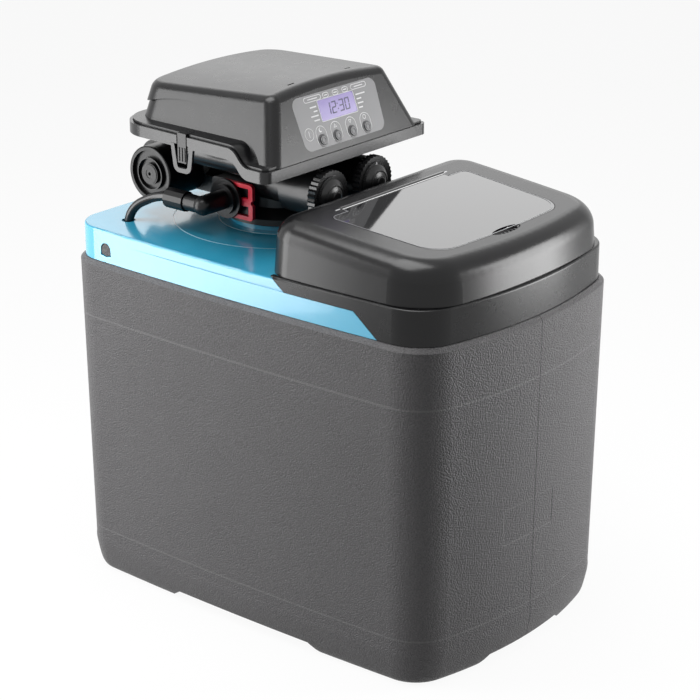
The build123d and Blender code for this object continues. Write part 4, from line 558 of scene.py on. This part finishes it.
class Palette:
    """All finishes of the softener, built once and found by name."""

    finishes: tuple[Plastic, ...] = (
        Plastic("cabinet_grey", (0.078, 0.076, 0.078), 0.40, 0.1, Texture.CABINET, pebbles=700.0,
                bump=0.0015, tint=0.2, shine=0.25),
        Plastic("collar_black", (0.0035, 0.0035, 0.004), 0.27, 0.05, shine=0.32),
        Plastic("lid_black", (0.0035, 0.0035, 0.004), 0.25, 0.05, shine=0.34),
        Plastic("flap_black", (0.006, 0.006, 0.007), 0.05, 0.02, bump=0.00001, coat=0.6),
        # Light band on the flap's edge: painted highlight.
        Plastic("flap_edge_highlight", (0.18, 0.18, 0.19), 0.20, 0.04),
        Plastic("head_black", (0.0045, 0.0045, 0.005), 0.28, 0.06, shine=0.34),
        # The head's black made lighter on the rim: painted reflection.
        Plastic("rim_black_sheen", (0.012, 0.012, 0.013), 0.26, 0.08, shine=0.44),
        Plastic("valve_black", (0.0065, 0.0065, 0.007), 0.33, 0.10, Texture.THREAD,
                bump=0.0009, shine=0.40),
        Plastic("moulded_black", (0.005, 0.005, 0.0055), 0.32, 0.10, bump=0.00008, shine=0.30),
        Plastic("knob_black", (0.006, 0.006, 0.0065), 0.28, 0.08, bump=0.00006, shine=0.42),
        Plastic("dark_plastic", (0.02, 0.02, 0.02), 0.4, 0.08, bump=0.00008),
        Plastic("white_plastic", (0.74, 0.74, 0.71), 0.4, 0.06),
        Plastic("tank_shell", (0.34, 0.36, 0.34), 0.35, 0.1, Texture.PEBBLE, pebbles=160.0,
                bump=0.0004, tint=0.1),
        Plastic("resin_beads", (0.42, 0.22, 0.06), 0.5, 0.1, Texture.PEBBLE, pebbles=900.0,
                bump=0.0008, tint=0.2),
        Plastic("seal_rubber", (0.012, 0.012, 0.012), 0.6, 0.1),
        Plastic("steel", (0.58, 0.58, 0.59), 0.28, 0.1, metal=1.0),
        Plastic("dark_steel", (0.05, 0.05, 0.05), 0.45, 0.1, metal=1.0),
        Plastic("gear_plastic", (0.74, 0.72, 0.66), 0.38, 0.06),
        Plastic("clip_red", (0.72, 0.010, 0.035), 0.34, 0.05),
        Plastic("tube_black", (0.008, 0.008, 0.009), 0.20, 0.05, shine=0.45),
        Plastic("label_grey", (0.20, 0.20, 0.205), 0.36, 0.06, bump=0.00002),
        Plastic("board_green", (0.02, 0.13, 0.05), 0.3, 0.05),
        Plastic("button_grey", (0.13, 0.13, 0.135), 0.34, 0.06),
        Plastic("button_ring", (0.055, 0.055, 0.058), 0.34, 0.05),
        Plastic("print_white", (0.66, 0.66, 0.67), 0.4, 0.04),
        Plastic("print_dark", (0.03, 0.025, 0.08), 0.4, 0.04),
        # Painted shade on the deck, painted light on the skirt and painted highlights on the
        # rings.
        CoverPlastic("cover_teal", (0.018, 0.215, 0.345), 0.16, 0.05, coat=0.3, drift=14.0),
        Plastic("display_lens", (0.20, 0.165, 0.33), 0.12, 0.03, shine=0.3, glow=0.19),
    )

    def __init__(self) -> None:
        """Builds every finish."""
        shop = GroupShop()
        self.made = {finish.name: finish.build(shop) for finish in self.finishes}

    def __getitem__(self, name: str) -> Material:
        """Material of a finish."""
        return self.made[name]


# Mesh helpers


class Shaper:
    """Turns bmesh work into finished objects that sit at the origin."""

    @staticmethod
    def finish(mesh: Mesh, name: str, material: Material, smooth: bool) -> Object:
        """Closes a bmesh into an object.

        Args:
            mesh: The bmesh, already in the model's frame.
            name: The object's name.
            material: Its finish.
            smooth: True for smooth shading with sharp edges kept.

        Returns:
            The new object.
        """
        bmesh.ops.remove_doubles(mesh, verts=mesh.verts, dist=FINISH_MERGE)
        bmesh.ops.recalc_face_normals(mesh, faces=mesh.faces)
        data = bpy.data.meshes.new(name)
        mesh.to_mesh(data)
        mesh.free()
        for polygon in data.polygons:
            polygon.use_smooth = smooth
        data.materials.append(material)
        obj = bpy.data.objects.new(name, data)
        bpy.context.scene.collection.objects.link(obj)
        if smooth:
            data.set_sharp_from_angle(angle=math.radians(SHARP_DEG))
        return obj

    @staticmethod
    def corners(outline: Sequence[Point], cuts: Sequence[float] = ()) -> Mesh:
        """Flat face on an outline whose corners may be rounded.

        Args:
            outline: Corners in the face's own plane, in millimetres.
            cuts: How far each corner is cut back along its edges; none for sharp corners.

        Returns:
            A bmesh with one face.
        """
        mesh = bmesh.new()
        points = [mesh.verts.new((x * MM, y * MM, 0.0)) for x, y in outline]
        mesh.faces.new(points)
        mesh.normal_update()
        for point, cut in zip(points, cuts):
            if cut:
                bmesh.ops.bevel(mesh, geom=[point], offset=cut * MM, offset_type="OFFSET",
                                segments=CORNER_STEPS, profile=0.5, affect="VERTICES", material=-1)
        return mesh

    @staticmethod
    def raised(mesh: Mesh, thickness: float, place: Matrix) -> Mesh:
        """Gives a flat bmesh its thickness and puts it in place.

        Args:
            mesh: Flat bmesh in its own plane.
            thickness: Height above that plane, in millimetres.
            place: Matrix from the plane to the model's frame.

        Returns:
            The same bmesh, now closed.
        """
        lifted = bmesh.ops.extrude_face_region(mesh, geom=list(mesh.faces))
        moved = [part for part in lifted["geom"] if isinstance(part, bmesh.types.BMVert)]
        bmesh.ops.translate(mesh, verts=moved, vec=(0.0, 0.0, thickness * MM))
        bmesh.ops.transform(mesh, matrix=place, verts=mesh.verts)
        return mesh

    @staticmethod
    def band(mesh: Mesh, width: float) -> Mesh:
        """Keeps only a band along the edge of each flat face.

        Args:
            mesh: Flat bmesh in its own plane.
            width: Width of the band, in millimetres.

        Returns:
            The same bmesh, now open in the middle.
        """
        inner = list(mesh.faces)
        bmesh.ops.inset_individual(mesh, faces=inner, thickness=width * MM, use_even_offset=True)
        bmesh.ops.delete(mesh, geom=inner, context="FACES")
        return mesh

    @staticmethod
    def box(width: float, height: float, center: Point) -> list[Point]:
        """Four corners of a rectangle, in millimetres and in order round it."""
        turns = ((-0.5, -0.5), (0.5, -0.5), (0.5, 0.5), (-0.5, 0.5))
        return [(center[0] + x * width, center[1] + y * height) for x, y in turns]

    @staticmethod
    def turned(profile: Sequence[Point], place: Matrix) -> Mesh:
        """Spins a closed profile of radius and height about an axis.

        Args:
            profile: Radius and height of each corner, in millimetres.
            place: Matrix that takes the Z axis to the real axis.

        Returns:
            The turned bmesh.
        """
        mesh = bmesh.new()
        points = [mesh.verts.new((radius * MM, 0.0, height * MM)) for radius, height in profile]
        edges = [mesh.edges.new((points[i - 1], points[i])) for i in range(len(points))]
        bmesh.ops.spin(mesh, geom=points + edges, cent=(0, 0, 0), axis=(0, 0, 1),
                       angle=2 * math.pi, steps=TURN_STEPS, use_merge=True)
        bmesh.ops.remove_doubles(mesh, verts=mesh.verts, dist=TURN_MERGE)
        bmesh.ops.transform(mesh, matrix=place, verts=mesh.verts)
        return mesh

    @staticmethod
    def join(parts: list[Mesh]) -> Mesh:
        """Gathers several bmeshes in one, and frees them.

        Args:
            parts: The bmeshes.

        Returns:
            A new bmesh with all their faces.
        """
        whole = bmesh.new()
        for part in parts:
            data = bpy.data.meshes.new("part")
            part.to_mesh(data)
            part.free()
            whole.from_mesh(data)
            bpy.data.meshes.remove(data)
        return whole


# Sub-assemblies


@dataclass
class Assembly:
    """One sub-assembly: the finish of each of its CAD nodes, and the pieces added to it.

    Its sizes and places are in millimetres, in the model's frame.
    """

    palette: Palette
    nodes: dict[str, Object]
    finishes: ClassVar[dict[str, str]] = {}

    def dress(self) -> None:
        """Gives every CAD node of the sub-assembly its finish."""
        for node, finish in self.finishes.items():
            for slot in self.nodes[node].material_slots:
                slot.material = self.palette[finish]
            log.info("dressed %s with %s", node, finish)

    def add(self, mesh: Mesh, name: str, finish: str, slot: str, body: str,
            smooth: bool = False) -> Object:
        """Turns a bmesh into a piece that rides on a body.

        Args:
            mesh: The shape, in the model's frame.
            name: The piece's name.
            finish: Name of its finish.
            slot: Material slot of the record; not used.
            body: Body that it moves with.
            smooth: True for smooth shading.

        Returns:
            The new piece.
        """
        piece = Shaper.finish(mesh, name, self.palette[finish], smooth)
        log.info("piece %s on %s", name, body)
        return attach(piece, body)

    def details(self) -> None:
        """Adds the pieces that the CAD model leaves to the scene; none by default."""

    def build(self) -> None:
        """Dresses the nodes and adds the pieces."""
        self.dress()
        self.details()


@dataclass
class CabinetShell(Assembly):
    """Cabinet with its two covers and the overflow fitting."""

    finishes: ClassVar[dict[str, str]] = {
        "cabinet": "cabinet_grey", "shroud": "cover_teal", "salt_collar": "collar_black",
        "overflow_fitting": "moulded_black", "overflow_nut": "moulded_black"}


@dataclass
class SaltLid(Assembly):
    """Salt lid with its flap; a light band along the flap's edge, a painted highlight, is added.

    back, front and bar are corners of the flap on its right side, and each of the cuts rounds
    one kind of corner. The top of the lid falls by slope from its ridge to the front.
    """

    finishes: ClassVar[dict[str, str]] = {
        "salt_lid": "lid_black", "lid_window": "flap_black", "window_hinge_pin": "steel"}
    back: Point = (104.6, -68.4)
    front: Point = (97.6, -192.6)
    front_middle: float = -196.6
    bar: Point = (78.6, -60.4)
    corner_cut: float = 25.6
    middle_cut: float = 20.0
    ear_cut: float = 8.6
    edge_width: float = 0.9
    edge_rise: float = 0.25
    ridge_z: float = 437.0
    ridge_y: float = -49.0
    slope: float = 0.0864

    def sloping(self) -> Matrix:
        """Shear that lays a flat shape on the falling top of the lid.

        Returns:
            The placing matrix.
        """
        lay = Matrix.Identity(4)
        lay[2][1] = self.slope
        lay[2][3] = (self.ridge_z - self.slope * self.ridge_y) * MM
        return lay

    def details(self) -> None:
        """Adds a light band along the edge of the flap: a painted highlight of its bevel."""
        right = [self.front, self.back, (self.bar[0], self.back[1]), self.bar]
        cuts = [self.corner_cut, self.ear_cut, 0.0, 0.0]
        left = [(-x, y) for x, y in reversed(right)]
        mesh = Shaper.corners([*left, (0.0, self.front_middle), *right],
                              [*reversed(cuts), self.middle_cut, *cuts])
        mesh = Shaper.raised(Shaper.band(mesh, self.edge_width), self.edge_rise, self.sloping())
        # A light band standing for the highlight on the flap's bevel: painted highlight.
        self.add(mesh, "flap_edge_highlight", "flap_edge_highlight", "smoke_black", Body.FLAP.value)


@dataclass
class PressureTank(Assembly):
    """Resin tank with its riser, strainers and resin."""

    finishes: ClassVar[dict[str, str]] = {
        "resin_tank": "tank_shell", "riser_tube": "white_plastic",
        "bottom_strainer": "white_plastic", "top_strainer": "white_plastic",
        "resin_bed": "resin_beads", "neck_seal": "seal_rubber"}


@dataclass
class BrineSide(Assembly):
    """Brine well with its valve and float, the salt grid, and both side lines with their clips."""

    finishes: ClassVar[dict[str, str]] = {
        "brine_well": "white_plastic", "well_cap": "dark_plastic", "safety_valve": "white_plastic",
        "air_check": "white_plastic", "brine_float": "white_plastic", "salt_grid": "white_plastic",
        "brine_elbow": "moulded_black", "elbow_nut": "moulded_black", "brine_tube": "tube_black",
        "brine_clip": "clip_red", "drain_clip": "clip_red", "drain_elbow": "moulded_black"}


@dataclass
class ControlValve(Assembly):
    """Valve body with its piston, drive gears, motor and meter."""

    finishes: ClassVar[dict[str, str]] = {
        "valve_body": "valve_black", "barrel_end_cap": "moulded_black", "cap_screw": "dark_steel",
        "seal_stack": "white_plastic", "piston": "gear_plastic", "drive_cap": "moulded_black",
        "main_drive_gear": "gear_plastic", "reduction_gear": "gear_plastic",
        "motor_pinion": "gear_plastic", "motor_bracket": "steel", "drive_motor": "steel",
        "drive_cover": "moulded_black", "bracket_screws": "steel", "flow_turbine": "gear_plastic",
        "turbine_cage": "white_plastic"}


@dataclass
class Bypass(Assembly):
    """The two bypass knobs with their plugs; each dome's ring and button and a pointer are added.

    A sunk size is how deep a piece starts in the dome, and a drop how far an edge of it lies
    below its crest; ring_drops are those of its inner and outer edge.
    """

    finishes: ClassVar[dict[str, str]] = {
        "left_knob": "knob_black", "right_knob": "knob_black", "left_rotor": "gear_plastic",
        "right_rotor": "gear_plastic"}
    knob_x: float = 34.0
    knob_z: float = 428.5
    apex_y: float = -18.4
    ball_radius: float = 25.48
    ring_radius: float = 11.4
    ring_half_width: float = 0.8
    ring_rise: float = 0.9
    ring_sunk: float = 0.4
    ring_drops: Point = (0.3, 0.5)
    nub_radius: float = 5.6
    nub_rise: float = 1.1
    nub_sunk: float = 0.8
    nub_drop: float = 0.4
    nub_bevel: float = 0.5
    nub_crown: float = 0.2
    pointer: tuple[Point, ...] = ((-1.4, 17.4), (1.4, 17.4), (0.0, 20.2))
    pointer_y: float = -11.9
    pointer_rise: float = 0.3

    def sink(self, radius: float) -> float:
        """How far the dome lies behind its middle at a radius."""
        return self.ball_radius - math.sqrt(self.ball_radius ** 2 - radius ** 2)

    def facing(self, x: float, y: float) -> Matrix:
        """Matrix that takes the Z axis to -Y at a knob's middle."""
        turn = Matrix(((1, 0, 0), (0, 0, -1), (0, 1, 0))).to_4x4()
        return Matrix.Translation(Vector((x, y, self.knob_z)) * MM) @ turn

    def ring(self) -> list[Point]:
        """Profile of the raised ring.

        Returns:
            Radius and height of each corner.
        """
        inner = self.ring_radius - self.ring_half_width
        outer = self.ring_radius + self.ring_half_width
        low = -self.sink(outer) - self.ring_sunk
        high = self.ring_rise - self.sink(self.ring_radius)
        inner_drop, outer_drop = self.ring_drops
        return [(inner, low), (outer, low), (outer, high - outer_drop), (self.ring_radius, high),
                (inner, high - inner_drop)]

    def nub(self) -> list[Point]:
        """Profile of the round button in the middle of the dome.

        Returns:
            Radius and height of each corner.
        """
        fall = self.sink(self.nub_radius)
        edge = self.nub_rise - fall
        return [(0.0, -self.nub_sunk), (self.nub_radius, -self.nub_sunk - fall),
                (self.nub_radius, edge - self.nub_drop), (self.nub_radius - self.nub_bevel, edge),
                (0.0, edge + self.nub_crown)]

    def details(self) -> None:
        """Adds a raised ring and a round button to each dome, and the right knob's pointer."""
        sides = (("left", Body.LEFT_KNOB, -self.knob_x), ("right", Body.RIGHT_KNOB, self.knob_x))
        for side, body, x in sides:
            place = self.facing(x, self.apex_y)
            mesh = Shaper.join([Shaper.turned(form, place) for form in (self.ring(), self.nub())])
            self.add(mesh, f"{side}_knob_face", "knob_black", "knob_black", body.value, True)
        place = self.facing(self.knob_x, self.pointer_y)
        mesh = Shaper.raised(Shaper.corners(self.pointer), self.pointer_rise, place)
        self.add(mesh, "right_knob_pointer", "print_white", "label_grey", Body.RIGHT_KNOB.value)


@dataclass
class ControlHead(Assembly):
    """Head base and cover, and the panel on the leaning face with its prints and key rings.

    Places on the face are s across it and t up along it, from the middle of its lower edge, and
    a cut is how far a corner is cut back. colon holds the dots' place, size and rise,
    state_ring its width and cut, each capsule its place and width, and capsule_bar its share
    of that width and its height.
    """

    finishes: ClassVar[dict[str, str]] = {
        # The head base gets a lighter black than the cover: painted reflection on the rim.
        "head_base": "rim_black_sheen", "head_cover": "head_black", "control_label": "label_grey",
        "display_module": "display_lens", "circuit_board": "board_green",
        "power_jack": "dark_plastic", "button_1": "button_grey", "button_2": "button_grey",
        "button_3": "button_grey", "button_4": "button_grey"}
    lean_deg: float = 69.2
    origin: Place = (0.0, -4.0, 472.0)
    ink: float = 0.15
    line: float = 0.55
    key_s: tuple[float, ...] = (-33.4, -11.3, 11.3, 33.4)
    key_t: float = 11.6
    key_proud: float = 1.6
    collar: tuple[Point, ...] = (
        (4.5, 0.0), (6.4, 0.0), (6.2, 0.45), (5.8, 0.6), (4.9, 0.6), (4.5, 0.3))
    cap: tuple[Point, ...] = ((2.2, 0.0), (3.1, 0.0), (3.0, 0.28), (2.3, 0.28))
    oval: Point = (15.6, 20.6)
    oval_cut: float = 7.7
    oval_t: float = 15.9
    sign_t: float = 21.9
    sign_line: float = 0.5
    sign_reach: float = 2.3
    sign_foot: float = 1.6
    sign_tip: float = 2.2
    moon_radii: Point = (2.3, 1.8)
    moon_shift: Point = (1.0, 0.6)
    frame_size: Point = (54.6, 22.0)
    frame_cut: float = 1.8
    frame_t: float = 39.4
    digit_size: Point = (6.6, 12.0)
    digit_bar: float = 1.25
    digit_slant: float = 0.09
    digit_s: tuple[float, ...] = (-17.5, -8.9, 2.3, 10.9)
    colon: Place = (0.4, 1.2, 2.6)
    state_s: float = -50.0
    state_t: float = 20.6
    state_ring: Point = (12.6, 6.2)
    state_bar: Point = (0.7, 6.4)
    capsule_t: float = 53.0
    capsule_height: float = 5.4
    capsule_cut: float = 2.9
    capsules: tuple[Point, ...] = (
        (-32.5, 25.5), (-12.6, 9.0), (2.0, 9.0), (16.6, 9.0), (37.0, 23.5))
    capsule_bar: Point = (0.55, 0.9)
    row_t: tuple[float, ...] = (45.0, 40.6, 36.2, 31.8)
    left_rows: tuple[float, ...] = (9.5, 5.5, 11.0, 8.0)
    right_rows: tuple[float, ...] = (14.0, 7.0, 8.5, 6.0)
    row_start: float = 29.8
    row_height: float = 1.3

    def place(self, lift: float = 0.0) -> Matrix:
        """Matrix from the leaning face's own plane to the model's frame.

        Args:
            lift: Height above the face, in millimetres.

        Returns:
            The placing matrix.
        """
        lean = math.radians(self.lean_deg)
        up = Vector((0.0, math.cos(lean), math.sin(lean)))
        out = Vector((0.0, -math.sin(lean), math.cos(lean)))
        spin = Matrix((Vector((1.0, 0.0, 0.0)), up, out)).transposed().to_4x4()
        return Matrix.Translation((Vector(self.origin) + out * lift) * MM) @ spin

    def printed(self, parts: list[Mesh], name: str, finish: str = "print_white") -> None:
        """Prints flat shapes on the face as one piece.

        Args:
            parts: Flat bmeshes in the plane of the face.
            name: The piece's name.
            finish: Its finish.
        """
        made = [Shaper.raised(part, self.ink, self.place()) for part in parts]
        self.add(Shaper.join(made), name, finish, "label_grey", Body.HEAD.value)

    def ring(self, size: Point, center: Point, cut: float) -> Mesh:
        """Flat outline of a rounded rectangle, one line wide."""
        return Shaper.band(Shaper.corners(Shaper.box(*size, center), [cut] * 4), self.line)

    def bar(self, width: float, height: float, center: Point) -> Mesh:
        """Flat filled rectangle."""
        return Shaper.corners(Shaper.box(width, height, center))

    def segments(self) -> dict[str, tuple[float, float, float, float]]:
        """Bars of a seven-segment digit, by the letter that each is known by.

        Returns:
            Left, bottom, right and top of each bar, from the digit's lower left corner.
        """
        wide, tall = self.digit_size
        thick = self.digit_bar
        half = tall / 2
        tip, gap, inset = 0.4, 0.3, 0.6
        return {
            "a": (tip, tall - thick, wide - tip, tall),
            "g": (inset, half - thick / 2, wide - inset, half + thick / 2),
            "d": (tip, 0.0, wide - tip, thick),
            "f": (0.0, half + gap, thick, tall - tip),
            "b": (wide - thick, half + gap, wide, tall - tip),
            "e": (0.0, tip, thick, half - gap),
            "c": (wide - thick, tip, wide, half - gap)}

    def digits(self) -> None:
        """Prints a plain time of day on the display, 12:30."""
        boxes = self.segments()
        low = self.frame_t - self.digit_size[1] / 2
        parts = []
        for left, lit in zip(self.digit_s, ("bc", "abged", "abgcd", "abcdef")):
            for key in lit:
                x0, y0, x1, y1 = boxes[key]
                box = ((x0, y0), (x1, y0), (x1, y1), (x0, y1))
                parts.append(Shaper.corners([
                    (left + x + self.digit_slant * y, low + y) for x, y in box]))
        s, size, rise = self.colon
        parts += [self.bar(size, size, (s, self.frame_t + up)) for up in (-rise, rise)]
        self.printed(parts, "display_digits", "print_dark")

    def moon(self, s: float) -> Mesh:
        """Flat sickle over a key.

        Args:
            s: Its place across the face.

        Returns:
            The flat bmesh.
        """
        outer, inner = self.moon_radii
        shift_s, shift_t = self.moon_shift
        turns = [math.radians(turn) for turn in range(60, 331, 15)]
        back = [math.radians(turn) for turn in range(285, 104, -15)]
        points = [(outer * math.cos(turn), outer * math.sin(turn)) for turn in turns]
        points += [(shift_s + inner * math.cos(turn), shift_t + inner * math.sin(turn))
                   for turn in back]
        return Shaper.corners([(s + x, self.sign_t + y) for x, y in points])

    def sign(self, kind: Sign, s: float) -> Mesh:
        """Flat sign over a key.

        Args:
            kind: Which sign.
            s: Its place across the face.

        Returns:
            The flat bmesh.
        """
        t, reach, foot, tip = self.sign_t, self.sign_reach, self.sign_foot, self.sign_tip
        if kind is Sign.MOON:
            return self.moon(s)
        if kind is Sign.UP:
            mesh = Shaper.corners([(s - reach, t - foot), (s + reach, t - foot), (s, t + tip)])
        elif kind is Sign.DOWN:
            mesh = Shaper.corners([(s, t - tip), (s + reach, t + foot), (s - reach, t + foot)])
        else:
            mesh = Shaper.corners(Shaper.box(2 * reach, 2 * reach, (s, t)), [tip] * 4)
        return Shaper.band(mesh, self.sign_line)

    def panel(self) -> None:
        """Prints the lines of the panel: frame, ovals, signs, capsules and short rows."""
        frame = self.ring(self.frame_size, (0.0, self.frame_t), self.frame_cut)
        self.printed([frame], "display_frame")
        ovals = [self.ring(self.oval, (s, self.oval_t), self.oval_cut) for s in self.key_s]
        self.printed(ovals, "key_ovals")
        self.printed([self.sign(kind, s) for kind, s in zip(Sign, self.key_s)], "key_signs")
        across, cut = self.state_ring
        at = (self.state_s, self.state_t)
        state = [self.ring((across, across), at, cut), self.bar(*self.state_bar, at)]
        self.printed(state, "state_sign")
        share, thick = self.capsule_bar
        parts = []
        for center, width in self.capsules:
            at = (center, self.capsule_t)
            parts.append(self.ring((width, self.capsule_height), at, self.capsule_cut))
            parts.append(self.bar(width * share, thick, at))
        self.printed(parts, "top_capsules")
        parts = []
        for t, left, right in zip(self.row_t, self.left_rows, self.right_rows):
            parts.append(self.bar(left, self.row_height, (-self.row_start - left / 2, t)))
            parts.append(self.bar(right, self.row_height, (self.row_start + right / 2, t)))
        self.printed(parts, "side_rows")

    def keys(self) -> None:
        """Adds a dark collar round each key and a raised ring on its cap."""
        for number, s in enumerate(self.key_s, start=1):
            at = Matrix.Translation(Vector((s, self.key_t, 0.0)) * MM)
            collar = Shaper.turned(self.collar, self.place() @ at)
            self.add(collar, f"key_collar_{number}", "button_ring", "button_grey",
                     Body.HEAD.value, True)
            cap = Shaper.turned(self.cap, self.place(self.key_proud) @ at)
            self.add(cap, f"key_ring_{number}", "button_ring", "button_grey",
                     Body.BUTTON.value.format(number), True)

    def details(self) -> None:
        """Adds the prints and the key rings."""
        self.panel()
        self.digits()
        self.keys()


# Studio


@dataclass(frozen=True)
class Lamp:
    """Soft rectangular lamp: its place and aim and the size of its face in metres, and watts."""

    name: str
    at: Place
    aim: Place
    size: Point
    power: float

    def hang(self) -> None:
        """Adds the lamp to the scene; the camera doesn't see its face."""
        data = bpy.data.lights.new(self.name, "AREA")
        data.shape = "RECTANGLE"
        data.size, data.size_y = self.size
        data.energy = self.power
        lamp = bpy.data.objects.new(self.name, data)
        lamp.visible_camera = False
        bpy.context.scene.collection.objects.link(lamp)
        toward = Vector(self.aim) - Vector(self.at)
        turn = toward.to_track_quat("-Z", "Y").to_matrix().to_4x4()
        lamp.matrix_world = Matrix.Translation(Vector(self.at)) @ turn


@dataclass
class Studio:
    """Floor, lamps, world and camera of the photograph.

    The camera was solved from the photograph, whose side is frame_px. The floor and the world
    show as plain white; sky and bounce are what the softener itself gets from them.
    """

    focal_px: float = 2310.32
    frame_px: float = 700.0
    sensor_mm: float = 36.0
    eye_mm: Place = (-1681.757, -1410.139, 1081.904)
    right: Place = (0.6409, -0.7676, 0.0)
    forward: Place = (0.71845, 0.59981, -0.35221)
    clip_end: float = 100.0
    floor_size: float = 30.0
    white: Color = (1.0, 1.0, 1.0)
    white_strength: float = 1.0
    bounce: Color = (0.30, 0.30, 0.30)
    paper: Color = (0.8, 0.8, 0.8)
    paper_rough: float = 0.9
    shadow_share: float = 0.07
    sky: Color = (0.95, 0.97, 1.0)
    sky_strength: float = 0.10
    lamps: tuple[Lamp, ...] = (
        Lamp("left_panel", (-0.75, 0.64, 0.46), (-0.12, 0.10, 0.33), (0.5, 1.05), 11.0),
        Lamp("front_panel", (0.66, -0.79, 0.42), (0.05, -0.22, 0.38), (0.45, 0.66), 9.6),
        Lamp("rear_panel", (1.25, 0.95, 1.2), (0.0, 0.0, 0.45), (1.5, 0.9), 4.2),
        Lamp("top_panel", (-0.3, 0.1, 1.9), (0.0, 0.0, 0.3), (1.2, 1.2), 30.0))

    def camera(self) -> None:
        """Places the camera that was solved from the photograph."""
        data = bpy.data.cameras.new("photo_camera")
        data.sensor_width = self.sensor_mm
        data.lens = self.focal_px * self.sensor_mm / self.frame_px
        data.clip_end = self.clip_end
        camera = bpy.data.objects.new("photo_camera", data)
        bpy.context.scene.collection.objects.link(camera)
        forward = Vector(self.forward).normalized()
        right = Vector(self.right).normalized()
        up = right.cross(forward).normalized()
        turn = Matrix((right, up, -forward)).transposed().to_4x4()
        camera.matrix_world = Matrix.Translation(Vector(self.eye_mm) * MM) @ turn
        bpy.context.scene.camera = camera

    def show(self, build: NodeBuilder, lighting: Node, seen: Node, output: Node) -> None:
        """Shows one shader to camera, glossy and transmission rays, and another to the rest.

        Args:
            build: Builder of the floor's or the world's tree.
            lighting: Shader that lights the softener.
            seen: Shader of the plain white background.
            output: The tree's output.
        """
        path = build.add("ShaderNodeLightPath")
        kinds = ("Is Camera Ray", "Is Glossy Ray", "Is Transmission Ray")
        pick = build.feed(build.add("ShaderNodeMixShader"), {
            0: build.any_of(*(path.outputs[kind] for kind in kinds)),
            1: lighting.outputs[0], 2: seen.outputs[0]})
        build.feed(output, {"Surface": pick.outputs[0]})

    def floor(self) -> None:
        """Adds a white floor that keeps only a soft shadow."""
        mesh = bmesh.new()
        bmesh.ops.create_grid(mesh, x_segments=1, y_segments=1, size=self.floor_size / 2)
        material = bpy.data.materials.new("studio_floor")
        material.use_nodes = True
        nodes = material.node_tree.nodes
        build = NodeBuilder(material.node_tree)
        bounce = build.add("ShaderNodeBsdfDiffuse", Color=opaque(self.bounce))
        paper = build.feed(nodes["Principled BSDF"], {
            "Base Color": opaque(self.paper), "Roughness": self.paper_rough,
            "Specular IOR Level": 0.0})
        glow = build.add("ShaderNodeEmission", Color=opaque(self.white),
                         Strength=self.white_strength)
        shaded = build.feed(build.add("ShaderNodeMixShader", Fac=self.shadow_share), {
            1: glow.outputs[0], 2: paper.outputs[0]})
        self.show(build, bounce, shaded, nodes["Material Output"])
        Shaper.finish(mesh, "studio_floor", material, smooth=False)

    def world(self) -> None:
        """Sets a soft grey light with a white background."""
        world = bpy.data.worlds.new("studio")
        world.use_nodes = True
        bpy.context.scene.world = world
        build = NodeBuilder(world.node_tree)
        world.node_tree.nodes.clear()
        light = build.add("ShaderNodeBackground", Color=opaque(self.sky),
                          Strength=self.sky_strength)
        white = build.add("ShaderNodeBackground", Color=opaque(self.white),
                          Strength=self.white_strength)
        self.show(build, light, white, build.add("ShaderNodeOutputWorld"))

    def build(self) -> None:
        """Sets up the whole studio."""
        self.camera()
        self.floor()
        self.world()
        for lamp in self.lamps:
            lamp.hang()
        bpy.context.scene.view_settings.view_transform = "Standard"


SUB_ASSEMBLIES: tuple[type[Assembly], ...] = (
    CabinetShell, SaltLid, PressureTank, BrineSide, ControlValve, Bypass, ControlHead)


def main() -> None:
    """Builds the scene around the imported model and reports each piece.

    Raises:
        ValueError: A CAD node has no finish.
    """
    logging.basicConfig(level=logging.INFO, format="%(message)s")
    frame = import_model()
    palette = Palette()
    Studio().build()
    dressed: set[str] = set()
    for kind in SUB_ASSEMBLIES:
        kind(palette, frame["nodes"]).build()
        dressed |= set(kind.finishes)
    missing = set(frame["nodes"]) - dressed
    if missing:
        raise ValueError(f"nodes without a finish: {sorted(missing)}")


if __name__ == "__main__":
    main()
